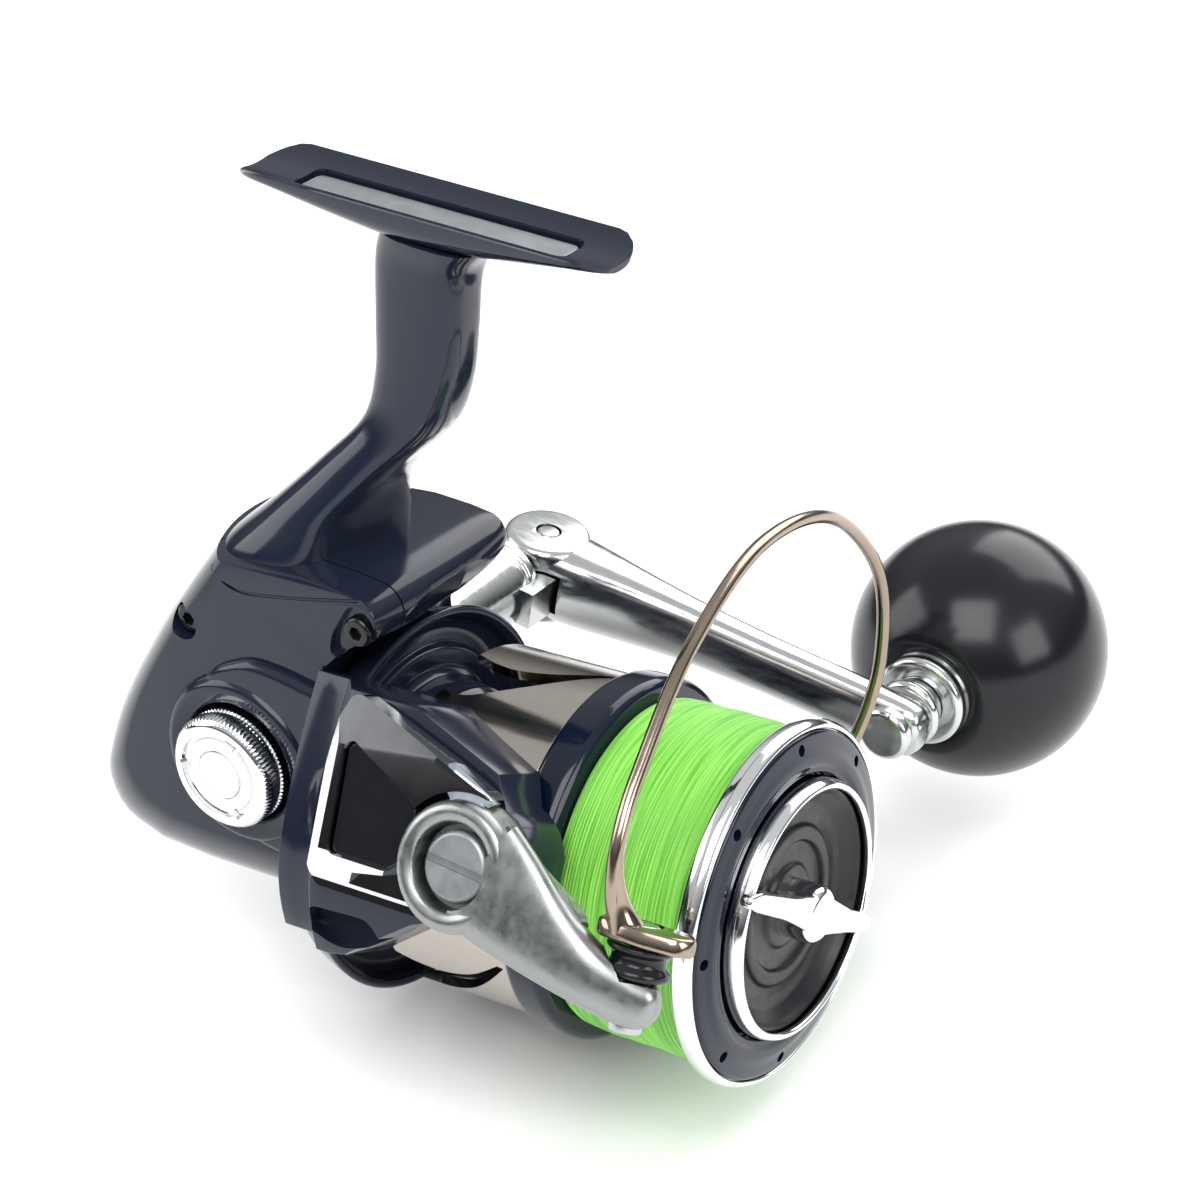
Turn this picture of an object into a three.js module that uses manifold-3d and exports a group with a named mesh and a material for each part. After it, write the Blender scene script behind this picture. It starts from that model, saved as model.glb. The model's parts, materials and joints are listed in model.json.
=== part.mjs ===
// Spinning reel: a fixed-spool fishing reel that hangs from a rod's reel seat by its foot.
// Units are millimetres. +X runs forward along the main shaft, +Z up to the foot, +Y to the
// handle side. The origin is the middle of the foot's seat face.
// Most pieces are drawn in the reel's own frame: main shaft on the X axis, spool lip at x = 0.

import * as THREE from 'three';
import { mergeVertices } from 'three/addons/utils/BufferGeometryUtils.js';
import Module from 'manifold-3d';

const wasm = await Module();
wasm.setup();

// ---- driving dimensions ----------------------------------------------------------------

const GAP = 0.3;                       // room left between pieces that touch

const FOOT_HEIGHT = 91.5;              // main shaft axis to the foot's seat
const FOOT_X = -52.7;
const FOOT_LENGTH = 59;
const FOOT_WIDTH = 13.6;
const FOOT_TILT = THREE.MathUtils.degToRad(4.5);
const TROUGH_DEPTH = 1.6;
const STRIP_HALF = 3.2;                // flat strip at the bottom of the foot's trough

const BODY_HALF = 16;                  // half the width of the gear housing
const SIDE_TAPER = 0.19;               // how much smaller the housing's outline is at its sides
const TAPER_CORNER = [-60, 38];        // the upper front corner that it shrinks towards
const WALL = 2;
const SEAM_Y = -10;                    // where the side cover meets the frame
const CRANK_X = -81;
const CRANK_Z = 9.2;                  // the crank axis runs above the main shaft

const GEAR_R = 11.4;
const GEAR_TEETH = 31;
const GEAR_BACK = -9;
const GEAR_FACE = -5.5;
const DRIVE_SHAFT_R = 4.2;
const PINION_R = 4.9;
const PINION_STARTS = 5;
const SPUR_R = 3.8;
const WORM_GEAR_R = 6.3;
const WORM_Z = -10.5;
const WORM_R = 2.8;
const MAIN_SHAFT_R = 2.2;
const SLIDER_REAR = -101.6;            // the main shaft is drawn in the middle of its stroke

const NOSE_R = 15.2;
const NOSE_FRONT = -57;
const ROTOR_REAR = -66.5;
const ROTOR_RIM = -60;
const ROTOR_RIM_R = 28.8;
const ARM_TILT = THREE.MathUtils.degToRad(-26);   // how far the rotor is turned at rest
const ARM_OUTER = 36.5;
const PIVOT_X = -28;                   // bail pivot axis
const ROLLER_X = -1.5;
const ROLLER_S = 37;

const SPOOL_R = 25;
const FLANGE_R = 26.3;
const LIP_R = 26;
const DRUM_R = 16;
const LINE_R = 23.9;
const CHAMBER_R = 14.2;
const KNOB_RING_R = 18.1;

const HANDLE_DROP = THREE.MathUtils.degToRad(12);
const HANDLE_LENGTH = 66.9;
const HINGE_X = 3;
const HINGE_Y = 56.5;
const KNOB_Y = 87;
const KNOB_R = 20.5;

const FINE = 26;                       // steps round the large turned pieces
const COARSE = 14;                     // steps round the small ones

// ---- colours ---------------------------------------------------------------------------

const finish = (color, roughness, metalness) =>
  new THREE.MeshStandardMaterial({ color, roughness, metalness });
const navy = finish(0x161a26, 0.22, 0.5);
const silver = finish(0xc9ccce, 0.2, 1);
const satin = finish(0xa5a9a8, 0.42, 1);
const champagne = finish(0xb5ada2, 0.25, 1);
const steel = finish(0x8f9295, 0.3, 1);
const brass = finish(0xb59a55, 0.35, 1);
const bronze = finish(0x75685a, 0.25, 1);
const black = finish(0x0d0e11, 0.3, 0);
const lime = finish(0x7fd83f, 0.6, 0);
const felt = finish(0x3c3a36, 0.9, 0);

// ---- shape helpers ---------------------------------------------------------------------

const X = new THREE.Vector3(1, 0, 0);
const Y = new THREE.Vector3(0, 1, 0);
const Z = new THREE.Vector3(0, 0, 1);
const basis = (a, b, c) => new THREE.Matrix4().makeBasis(a, b, c);

// Merge shared vertices, drop slivers with no area and turn the faces outward.
function tidy(geometry) {
  geometry.deleteAttribute('normal');
  geometry.deleteAttribute('uv');
  const merged = mergeVertices(geometry, 1e-4);
  const position = merged.attributes.position;
  const kept = [];
  let volume = 0;
  for (let i = 0; i < merged.index.count; i += 3) {
    const [a, b, c] = [0, 1, 2].map((k) => merged.index.getX(i + k));
    if (a === b || b === c || c === a) continue;
    kept.push([a, b, c]);
    const [p, q, r] = [a, b, c].map((k) => new THREE.Vector3().fromBufferAttribute(position, k));
    volume += p.dot(q.cross(r));
  }
  const faces = volume < 0 ? kept.map(([a, b, c]) => [a, c, b]) : kept;
  merged.setIndex(faces.flat());
  return merged;
}

function toSolid(geometry) {
  const clean = tidy(geometry);
  return new wasm.Manifold(new wasm.Mesh({
    numProp: 3,
    vertProperties: new Float32Array(clean.attributes.position.array),
    triVerts: new Uint32Array(clean.index.array),
  }));
}

function toGeometry(solid) {
  const mesh = solid.getMesh();
  const geometry = new THREE.BufferGeometry();
  geometry.setAttribute('position', new THREE.BufferAttribute(mesh.vertProperties, 3));
  geometry.setIndex(new THREE.BufferAttribute(mesh.triVerts, 1));
  return geometry;
}

const combine = (how) => (first, ...rest) =>
  toGeometry(rest.reduce((solid, next) => solid[how](toSolid(next)), toSolid(first)));
const cut = combine('subtract');
const join = combine('add');
const common = combine('intersect');

const shapeOf = (points) => new THREE.Shape(points.map(([a, b]) => new THREE.Vector2(a, b)));

// Prisms: an outline in the plane across the named axis, pushed along that axis.
function prism(points, low, high, frame, along) {
  const geometry = new THREE.ExtrudeGeometry(shapeOf(points), {
    depth: high - low, bevelEnabled: false, curveSegments: 8,
  });
  geometry.applyMatrix4(frame);
  geometry.translate(...along);
  return geometry;
}
const prismX = (yz, low, high) => prism(yz, low, high, basis(Y, Z, X), [low, 0, 0]);
const prismY = (xz, low, high) => prism(xz, low, high, basis(X, Z, Y.clone().negate()), [0, high, 0]);
const prismZ = (xy, low, high) => prism(xy, low, high, basis(X, Y, Z), [0, 0, low]);

// Turned pieces: [place along the axis, radius] pairs, on the axis at both ends or closed.
function turned(profile, steps, frame) {
  const points = profile.map(([along, radius]) => new THREE.Vector2(radius, along));
  const onAxis = points[0].x === 0 && points.at(-1).x === 0;
  if (!onAxis) points.push(points[0].clone());
  const geometry = new THREE.LatheGeometry(points, steps);
  geometry.applyMatrix4(frame);
  return geometry;
}
const turnX = (profile, steps = COARSE) => turned(profile, steps, basis(Z, X, Y));
const turnY = (profile, steps = COARSE) => turned(profile, steps, basis(X, Y, Z));
const turnZ = (profile, steps = COARSE) => turned(profile, steps, basis(Y, Z, X));

const rod = (low, high, radius) => [[low, 0], [low, radius], [high, radius], [high, 0]];
const ring = (low, high, inner, outer) => [[low, inner], [low, outer], [high, outer], [high, inner]];
const box = (x0, x1, y0, y1, z0, z1) => prismZ([[x0, y0], [x1, y0], [x1, y1], [x0, y1]], z0, z1);
const moved = (geometry, x, y, z) => geometry.translate(x, y, z);

// Points along an arc, in degrees.
function arc(cx, cy, radius, from, to, steps) {
  return Array.from({ length: steps + 1 }, (_, i) => {
    const angle = THREE.MathUtils.degToRad(from + (to - from) * i / steps);
    return [cx + radius * Math.cos(angle), cy + radius * Math.sin(angle)];
  });
}

// A smooth outline through a few points.
function smooth(points, steps) {
  const curve = new THREE.SplineCurve(points.map(([a, b]) => new THREE.Vector2(a, b)));
  return curve.getPoints(steps).map((p) => [p.x, p.y]);
}

function add(parent, name, geometry, material) {
  const mesh = new THREE.Mesh(tidy(geometry), material);
  mesh.name = name;
  parent.add(mesh);
}

// ---- frame of the object ---------------------------------------------------------------

const reel = new THREE.Group();
reel.position.set(-FOOT_X, 0, -FOOT_HEIGHT);

const foot = new THREE.Matrix4().makeRotationY(FOOT_TILT).setPosition(FOOT_X, 0, FOOT_HEIGHT);

// ---- body: foot, stem and gear housing in one casting ------------------------------------

function footGeometry() {
  const half = FOOT_LENGTH / 2;
  const top = TROUGH_DEPTH;
  const side = prismY([
    [-half, top], [-half, 0.4], [-17, -3.4], [-8, -5.4],
    [11, -5.2], [22, -2.6], [half, 0.5], [half, top],
  ], -FOOT_WIDTH / 2, FOOT_WIDTH / 2);
  const edge = FOOT_WIDTH / 2 + 0.2;
  const trough = prismX([[-edge, top + 1], [-edge, top], [-STRIP_HALF, 0], [STRIP_HALF, 0],
    [edge, top], [edge, top + 1]], -half - 1, half + 1);
  const recess = box(-19, 21, -2.6, 2.6, -1.2, 1);
  const plan = prismZ([[-half + 3, -6.8], [half - 3, -6.8], ...arc(half - 5, 0, 6.8, -60, 60, 6),
    [half - 3, 6.8], [-half + 3, 6.8], ...arc(-half + 5, 0, 6.8, 120, 240, 6)], -8, 4);
  return common(cut(side, trough, recess), plan).applyMatrix4(foot);
}

function stemGeometry() {
  const rear = smooth([[-60.5, 88.5], [-62.5, 70], [-65, 61], [-72, 54], [-88, 41]], 10);
  const front = smooth([[-66, 34], [-67.5, 40], [-65, 48.5], [-55, 58.5], [-49.5, 67], [-45.5, 88]], 12);
  return prismY([...rear, ...front], -6, 6);
}

const HOUSING = [
  [-62, 29], [-54.5, 34], [-54.5, 38.5], [-60, 41], [-69, 41.5], [-88, 41],
  ...smooth([[-93, 35], [-105, 19], [-114, 4], [-118.6, -8], [-116, -15.5], [-108, -19]], 10),
  [-98, -19.5], [-68, -19.5], [-68, 22],
];

const INSIDE = [
  [-64.5, 30.5], [-69, 38.6], [-86.5, 38.6],
  ...smooth([[-91.5, 33.5], [-103.4, 18.4], [-112.3, 3.6], [-116.2, -8], [-113.5, -14.5], [-107, -17]], 8),
  [-98, -17.4], [-70.5, -17.4], [-70.5, 24],
];

// The space that the rotor sweeps behind its rim.
const sweep = (room) => turnX([[-67 - room, 0], [-67 - room, 25 + room], [-64.6 - room, 27.6 + room],
  [ROTOR_RIM, ROTOR_RIM_R + room], [-56, 32.6 + room], [-54 - room, 36 + room], [-53 - room, 46 + room],
  [-17, 46 + room], [-17, 0]], FINE);
const rotorSweep = () => sweep(0.8);

// A slab of the housing, whose outline gets smaller towards the sides.
function housingSlab(outline, low, high) {
  const layer = 3.2;
  const steps = Math.ceil((high - low) / layer);
  const slab = new THREE.ExtrudeGeometry(shapeOf(outline), { depth: high - low, steps, bevelEnabled: false });
  slab.applyMatrix4(basis(X, Z, Y.clone().negate())).translate(0, high, 0);
  const position = slab.attributes.position;
  for (let i = 0; i < position.count; i += 1) {
    const shrink = 1 - SIDE_TAPER * (position.getY(i) / BODY_HALF) ** 2;
    position.setX(i, TAPER_CORNER[0] + (position.getX(i) - TAPER_CORNER[0]) * shrink);
    position.setZ(i, TAPER_CORNER[1] + (position.getZ(i) - TAPER_CORNER[1]) * shrink);
  }
  return slab;
}

function bodyGeometry() {
  const shell = housingSlab(HOUSING, SEAM_Y, BODY_HALF);
  const hollow = housingSlab(INSIDE, SEAM_Y - 1, BODY_HALF - WALL);
  const boss = moved(turnY(rod(11, 18.6, 12), FINE), CRANK_X, 0, CRANK_Z);
  const bearingSeat = moved(turnY(rod(13.6, 20, 7.3)), CRANK_X, 0, CRANK_Z);
  const shaftHole = moved(turnY(rod(5, 15, 5.4)), CRANK_X, 0, CRANK_Z);
  const nose = turnX([[-71, 0], [-71, NOSE_R], [-58, NOSE_R], [NOSE_FRONT, NOSE_R - 1], [NOSE_FRONT, 0]], FINE);
  const clutchBore = turnX([[-67, 0], [-67, 13], [-56, 13], [-56, 0]], FINE);
  const pinionBore = turnX(rod(-72, -60, 7.8));
  const wormWall = moved(turnX(rod(-80, -76.6, 5.4)), 0, 0, WORM_Z);
  const wormWeb = box(-80, -76.6, -3.5, 3.5, -18, WORM_Z - 3);
  const wormFront = moved(turnX(rod(-84, -70, 4.3)), 0, 0, WORM_Z);
  const wormRearWall = moved(turnX(rod(-117.6, -113.5, 5.6)), 0, 0, WORM_Z);
  const wormRear = moved(turnX(rod(-116.2, -112, 4.3)), 0, 0, WORM_Z);
  const gearRoom = moved(turnY(rod(SEAM_Y, GEAR_FACE + 1, GEAR_R + 0.8), FINE), CRANK_X, 0, CRANK_Z);
  const casing = cut(join(cut(shell, hollow, rotorSweep()), boss, nose), shaftHole, bearingSeat, gearRoom);
  const casting = join(casing, stemGeometry(), footGeometry(), wormWall, wormWeb, wormRearWall);
  const guideHole = moved(turnX(rod(-118, -112.6, 1.6)), 0, 4.6, -4.2);
  return cut(casting, clutchBore, pinionBore, wormFront, wormRear, guideHole,
    box(-67, -54, -20, SEAM_Y, 26, 42)); // room for the cover's front lobe
}

const SCREW_PLACES = { front: [-58.6, 35.4], rear: [-90.5, 28.5] };

function coverGeometry() {
  const plate = housingSlab(HOUSING, -BODY_HALF, SEAM_Y - GAP);
  const hollow = housingSlab(INSIDE, -BODY_HALF + WALL, SEAM_Y);
  const boss = moved(turnY([[-18.2, 0], [-18.2, 12.4], [-17.4, 13.4], [-12.4, 14.4], [-12.4, 0]], FINE),
    CRANK_X, 0, CRANK_Z);
  const capSeat = moved(turnY(rod(-21, -15.2, 9.3)), CRANK_X, 0, CRANK_Z);
  const bearingSeat = moved(turnY(rod(-14.2, -10, 7.3)), CRANK_X, 0, CRANK_Z);
  const shaftHole = moved(turnY(rod(-18, -12, 5.4)), CRANK_X, 0, CRANK_Z);
  const noseRoom = turnX(rod(-72, -50, NOSE_R + GAP), FINE);
  const whole = cut(join(cut(plate, hollow), boss), rotorSweep(), noseRoom, stemRoom());
  const screwHoles = Object.values(SCREW_PLACES).map(([x, z]) =>
    moved(turnY([[-20, 0], [-20, 3], [-16, 3], [-13.9, 1.5], [-9, 1.5], [-9, 0]], 16), x, 0, z));
  return cut(whole, capSeat, bearingSeat, shaftHole, ...screwHoles);
}

const stemRoom = () => box(-100, -40, -6 - GAP, 20, 30, 60);

add(reel, 'body_frame', bodyGeometry(), navy);
add(reel, 'side_cover', coverGeometry(), navy);

function guardGeometry() {
  const outer = smooth([[-102, 26.5], [-112.5, 12], [-119.8, -4]], 8);
  const inner = smooth([[-116.2, -2.5], [-108.7, 12], [-98.8, 25.2]], 8);
  const band = housingSlab([...outer, ...inner], -11, 11);
  return cut(band, housingSlab(HOUSING.map(([x, z]) => [x - GAP, z + GAP]), -BODY_HALF, BODY_HALF));
}
add(reel, 'rear_guard', guardGeometry(), silver);

add(reel, 'foot_plate', box(-18.7, 20.7, -2.3, 2.3, -0.9, -0.1).applyMatrix4(foot), satin);

// Cover screws: a countersunk head let into the cover.
const coverScrew = (x, z) =>
  moved(turnY([[-16.8, 0], [-16.8, 2.6], [-16.3, 2.6], [-14.2, 1.2], [-11, 1.2], [-11, 0]], 16), x, 0, z);
for (const [place, at] of Object.entries(SCREW_PLACES)) {
  add(reel, `cover_screw_${place}`, coverScrew(...at), steel);
}

// ---- drive train -------------------------------------------------------------------------

const crank = new THREE.Group();
crank.position.set(CRANK_X, 0, CRANK_Z);
crank.rotation.y = HANDLE_DROP;
reel.add(crank);

add(crank, 'crank_bearing_left', turnY(ring(-13.9, -10.8, 4.6, 7)), steel);
add(crank, 'crank_bearing_right', turnY(ring(14, 17.6, 4.6, 7)), steel);

// Face gear and its hollow shaft, with a ring of radial teeth facing the pinion.
function driveGear() {
  const disc = turnY([[GEAR_BACK, 3.1], [GEAR_BACK, GEAR_R], [GEAR_FACE, GEAR_R], [GEAR_FACE, 7.4],
    [GEAR_FACE - 1.2, 7], [GEAR_FACE - 1.2, DRIVE_SHAFT_R], [17.6, DRIVE_SHAFT_R], [17.6, 3.1]], FINE);
  const neck = turnY(ring(-14.6, GEAR_BACK + 1, 3.1, DRIVE_SHAFT_R), FINE);
  const slots = Array.from({ length: GEAR_TEETH }, (_, i) => {
    const slot = box(7.6, GEAR_R + 1, GEAR_FACE - 1.1, GEAR_FACE + 1, -0.5, 0.5);
    return slot.rotateY(2 * Math.PI * i / GEAR_TEETH);
  });
  return cut(join(disc, neck), ...slots);
}
add(crank, 'drive_gear', driveGear(), brass);

// Knurled cap over the end of the drive shaft on the side away from the handle.
function screwCap() {
  const outline = Array.from({ length: 48 }, (_, i) => {
    const angle = 2 * Math.PI * i / 48;
    const radius = i % 2 ? 8.8 : 8.4;
    return [radius * Math.cos(angle), radius * Math.sin(angle)];
  });
  const knurl = prismY(outline, -21.6, -16);
  const skirt = turnY(rod(-17, -15.6, 8.2));
  const crown = turnY([[-22.3, 0], [-22.3, 7.6], [-21.2, 8.2], [-21.2, 0]], FINE);
  const groove = turnY(ring(-23, -21.8, 5, 5.6), FINE);
  const hollow = turnY(rod(-19, -15, 6));
  return cut(join(knurl, skirt, crown), groove, hollow);
}
add(crank, 'screw_cap', screwCap(), silver);

// Pinion: helical teeth ahead, a small spur wheel behind, and a long tube that carries the rotor.
function pinionGear() {
  const tooth = Array.from({ length: PINION_STARTS * 4 }, (_, i) => {
    const angle = 2 * Math.PI * (i + 0.5) / (PINION_STARTS * 4);
    const radius = i % 4 < 2 ? PINION_R : PINION_R - 1;
    return [radius * Math.cos(angle), radius * Math.sin(angle)];
  });
  const geometry = new THREE.ExtrudeGeometry(shapeOf(tooth), { depth: 9, steps: 8, bevelEnabled: false });
  const position = geometry.attributes.position;
  for (let i = 0; i < position.count; i += 1) {
    const turn = position.getZ(i) * 2 * Math.PI / 15;
    const [a, b] = [position.getX(i), position.getY(i)];
    position.setX(i, a * Math.cos(turn) - b * Math.sin(turn));
    position.setY(i, a * Math.sin(turn) + b * Math.cos(turn));
  }
  geometry.applyMatrix4(basis(Y, Z, X)).translate(-85.5, 0, 0);
  const spur = prismX(gearOutline(14, SPUR_R, 0.7), -75.4, -72.8);
  const tube = turnX(rod(-84, -49.5, 3));
  const bore = turnX(rod(-90, -45, MAIN_SHAFT_R + GAP));
  return cut(join(geometry, spur, tube), bore);
}

function gearOutline(teeth, radius, depth) {
  return Array.from({ length: teeth * 4 }, (_, i) => {
    const angle = 2 * Math.PI * (i + 0.5) / (teeth * 4);
    const at = i % 4 < 2 ? radius : radius - depth;
    return [at * Math.cos(angle), at * Math.sin(angle)];
  });
}

add(reel, 'pinion_gear', pinionGear(), brass);
add(reel, 'pinion_bearing', turnX(ring(-70.6, -67.4, 3.3, 7.5)), steel);
add(reel, 'clutch_housing', turnX(ring(-66.6, -59, 9.4, 12.7), FINE), steel);
add(reel, 'clutch_sleeve', turnX(ring(-66.2, -58, 3.3, 6.4)), steel);
add(reel, 'clutch_cage', turnX(ring(-66, -59.4, 6.7, 9.1), FINE), black);

// ---- oscillation: worm shaft, slider and main shaft -------------------------------------

function wormShaft() {
  const shaft = turnX(rod(-116, -72.2, 2.2));
  const screw = turnX(rod(-112, -82, WORM_R));
  const wheel = prismX(gearOutline(24, WORM_GEAR_R, 0.7), -75.4, -72.8);
  const turns = Array.from({ length: 8 }, (_, i) =>
    turnX(ring(-110.6 + i * 3.4, -109.4 + i * 3.4, WORM_R - 0.7, WORM_R + 1)));
  return cut(join(shaft, screw, wheel), ...turns).translate(0, 0, WORM_Z);
}
add(reel, 'worm_shaft', wormShaft(), steel);
add(reel, 'worm_bushing_front', moved(turnX(ring(-79.8, -76.8, 2.5, 4)), 0, 0, WORM_Z), brass);
add(reel, 'worm_bushing_rear', moved(turnX(ring(-115.9, -113.2, 2.5, 4)), 0, 0, WORM_Z), brass);
add(reel, 'guide_rod', moved(turnX(rod(-117.2, -84, 1.3), 12), 0, 4.6, -4.2), steel);

function slider() {
  const block = prismX([[-3.8, 3.4], [6.5, 3.4], [6.5, -6], [4.4, -14.4], [-4.4, -14.4], [-4.4, 0]], SLIDER_REAR, SLIDER_REAR + 5.6);
  const shaftHole = turnX(rod(-110, -90, MAIN_SHAFT_R + GAP));
  const wormHole = moved(turnX(rod(-110, -90, WORM_R + GAP)), 0, 0, WORM_Z);
  const guideHole = moved(turnX(rod(-110, -90, 1.6), 12), 0, 4.6, -4.2);
  return cut(block, shaftHole, wormHole, guideHole);
}
add(reel, 'oscillation_slider', slider(), brass);
add(reel, 'main_shaft', turnX(rod(SLIDER_REAR - 0.4, -1.5, MAIN_SHAFT_R)), steel);

// ---- rotor -------------------------------------------------------------------------------

const rotor = new THREE.Group();
rotor.rotation.x = ARM_TILT;
reel.add(rotor);

const ARM_SECTION = [
  [28.4, 17.5], [34.5, 17.5], [ARM_OUTER, 14], [ARM_OUTER, -7], [33.5, -14], [27, -19], [21.5, -19],
  [24.5, -15], [27.5, -8], [28.6, 0], [28.2, 7], [27, 13],
];
const ARM_OUTLINE = [
  [-66, -19.5], [-50, -19.5], [-43, -17], [-35, -9.5], ...arc(PIVOT_X, 0, 9.5, -90, 70, 10),
  [-47, 18], [-66, 18],
];

// One rotor arm on the -Y side; the other is the same turned half way round the shaft.
function rotorArm() {
  const section = prismX(ARM_SECTION.map(([s, h]) => [-s, h]), -67, -17);
  const arm = common(section, prismY(ARM_OUTLINE, -40, -18), sweep(0));
  const pivotHole = moved(turnY(rod(-40, -24, 2.6), 12), PIVOT_X, 0, 0);
  return cut(arm, pivotHole, turnX(rod(-59.9, 0, 27.6), FINE));
}

function rotorGeometry() {
  const bowl = turnX([[ROTOR_REAR, 15.8], [ROTOR_REAR, 26], [-64.5, 27.6], [ROTOR_RIM, ROTOR_RIM_R],
    [ROTOR_RIM, 27.4], [-62.8, 26], [-62.8, 18], [-54.4, 17.6], [-53, 16.2], [-53, 3.3],
    [-56, 3.3], [-56, 15.8]], FINE);
  return join(bowl, rotorArm(), rotorArm().rotateX(Math.PI));
}
add(rotor, 'rotor', rotorGeometry(), navy);
const hexagon = (radius) => arc(0, 0, radius, 0, 300, 5);
add(rotor, 'rotor_nut', cut(prismX(hexagon(6.4), -52.7, -50), turnX(rod(-60, -40, 3.3))), steel);

// Cover of the arm that carries the line roller: polished frame with a dark panel let into it.
const COVER = [[-52, -6.8], [-51, -8.6], [-28, -8.6], [-25.6, 9.6], [-48.6, 17.6], [-52.6, 8]];
const PANEL = [[-48.6, -3.4], [-40.4, -3.6], [-38.2, 0], [-36.6, 5.8], [-46.8, 11.6], [-48.8, 6]];
const SWING_FLOOR = -39.2;             // the cover's lower front is thinner, so that the bail arm clears it
const hubRoom = () => moved(turnY(rod(-60, -20, 9.7), FINE), PIVOT_X, 0, 0);

function coverFrame() {
  const frame = prismY(COVER, -42, -ARM_OUTER - GAP);
  const armRoom = prismY([[-47, -10], [-44.5, -5.2], [-39.2, -4.2], [-36.4, 1], [-26, 1], [-26, -10]], -43, SWING_FLOOR);
  return cut(frame, hubRoom(), armRoom, prismY(PANEL, -43, -39.3));
}
const panelSolid = () => prismY(PANEL.map(([x, z]) => [x + (x < -42 ? GAP : -GAP), z + (z > 2 ? -GAP : GAP)]),
  -41.4, -39.6);
add(rotor, 'arm_cover_frame', coverFrame(), silver);
add(rotor, 'arm_cover_panel', panelSolid(), black);
add(rotor, 'arm_cover_far', cut(prismY(COVER, -42, -ARM_OUTER - GAP), hubRoom()).rotateX(Math.PI), navy);

// ---- bail: arm, lever, wire and line roller -----------------------------------------------

const BAIL_ARM = [
  ...arc(PIVOT_X, 0, 8.8, 60, 212, 9), [-23.4, -8.4], [-13, -12], [-3.6, -13.6],
  ...arc(1.4, -10.7, 3.1, -70, 60, 4), [-5, -7], [-8.2, -5.2], [-8.6, -1.4], [-16.5, 2.6], [-20.8, 6.8],
];

function bailArm() {
  const hub = moved(turnY(rod(-43.5, -37.2, 8.8), FINE), PIVOT_X, 0, 0);
  const inward = prismZ([[-45, -44], [-20, -44], [-6, -42.5], [5, -38], [5, -33], [-5, -33],
    [-10, -37], [-13.6, -39.7], [-45, -39.7]], -20, 12);
  const bar = common(prismY(BAIL_ARM, -44, -32.5), inward);
  const screwSeat = moved(turnY(rod(-45, -40.2, 5.4), COARSE), PIVOT_X, 0, 0);
  const pivotHole = moved(turnY(rod(-45, -30, 2.6), 12), PIVOT_X, 0, 0);
  const rollerHole = moved(turnZ(rod(-20, 0, 1.6), 12), ROLLER_X, -ROLLER_S, 0);
  const rollerRoom = moved(turnZ(rod(-7.6, 5, 4.6), COARSE), ROLLER_X, -ROLLER_S, 0);
  return cut(join(hub, bar), screwSeat, pivotHole, rollerHole, rollerRoom);
}
add(rotor, 'bail_arm', bailArm(), satin);

const pivotScrew = () => moved(turnY([[-42.6, 0], [-42.6, 5], [-40.5, 5], [-40.5, 2.3], [-29.4, 2.3],
  [-29.4, 0]], COARSE), PIVOT_X, 0, 0);
const slotBox = () => moved(box(-6, 6, -43.5, -42, -0.5, 0.5), PIVOT_X, 0, 0);
const slottedScrew = () => cut(pivotScrew(), slotBox());
add(rotor, 'bail_arm_screw', slottedScrew(), steel);
add(rotor, 'bail_lever_screw', slottedScrew().rotateX(Math.PI), steel);

function bailLever() {
  const disc = moved(turnY(rod(37.2, 43.5, 8.8), FINE), PIVOT_X, 0, 0);
  const finger = prismY([[-33, 3], [-25, -3], [-18.8, 6.8], [-24.4, 9]], 38.5, 43.5);
  const seat = moved(turnY(rod(40.2, 45, 5.4), COARSE), PIVOT_X, 0, 0);
  const hole = moved(turnY(rod(30, 45, 2.6), 12), PIVOT_X, 0, 0);
  return cut(join(disc, finger), seat, hole);
}
add(rotor, 'bail_lever', bailLever(), satin);

// The wire runs from the line roller's end cap over the spool to the lever on the far side.
const WIRE_POINTS = [
  [-4.2, -39.8, -0.8], [-4.4, -42.3, 4.5], [-4.7, -42.6, 11], [-5.5, -39.5, 18.5], [-7.5, -29.3, 33.9],
  [-9.5, -12.4, 47.7], [-11, 9.4, 52.4], [-12.2, 30.6, 45.4], [-13.4, 40.3, 32], [-15.5, 41.8, 19.5],
  [-19.4, 41, 9.2],
];
function wireGeometry() {
  const path = new THREE.CatmullRomCurve3(WIRE_POINTS.map((p) => new THREE.Vector3(...p)));
  const section = shapeOf(arc(0, 0, 1.5, 0, 315, 7));
  return new THREE.ExtrudeGeometry(section, { steps: 44, bevelEnabled: false, extrudePath: path });
}
add(rotor, 'bail_wire', wireGeometry(), bronze);

const rollerAt = (profile) => moved(turnZ(profile), ROLLER_X, -ROLLER_S, 0);
const capPlate = [[-6.6, -41], [4.8, -40.4], [6, -36.5], [4.4, -33.2], [-3, -33], [-6.6, -35]];
function wireCap() {
  const hole = rollerAt(rod(-5, 5, 1.6));
  const wireRoom = new THREE.CatmullRomCurve3(WIRE_POINTS.slice(0, 3).map((p) => new THREE.Vector3(...p)));
  const around = new THREE.ExtrudeGeometry(shapeOf(arc(0, 0, 1.8, 0, 315, 7)),
    { steps: 8, bevelEnabled: false, extrudePath: wireRoom });
  return cut(prismZ(capPlate, -3, -1), hole, around);
}
add(rotor, 'wire_cap', wireCap(), bronze);
add(rotor, 'line_roller', rollerAt([[-7.3, 2.9], [-7.3, 4.2], [-6.6, 4.2], [-5.4, 3.5], [-4.2, 3.5],
  [-3.4, 4.2], [-3.3, 4.2], [-3.3, 2.9]]), black);
add(rotor, 'roller_bearing', rollerAt(ring(-7, -3.6, 1.7, 2.6)), steel);
add(rotor, 'roller_screw', rollerAt([[-15, 0], [-15, 2.4], [-13.8, 2.4], [-13.8, 1.3], [-0.6, 1.3], [-0.6, 0]]),
  steel);

// ---- spool ---------------------------------------------------------------------------------

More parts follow.
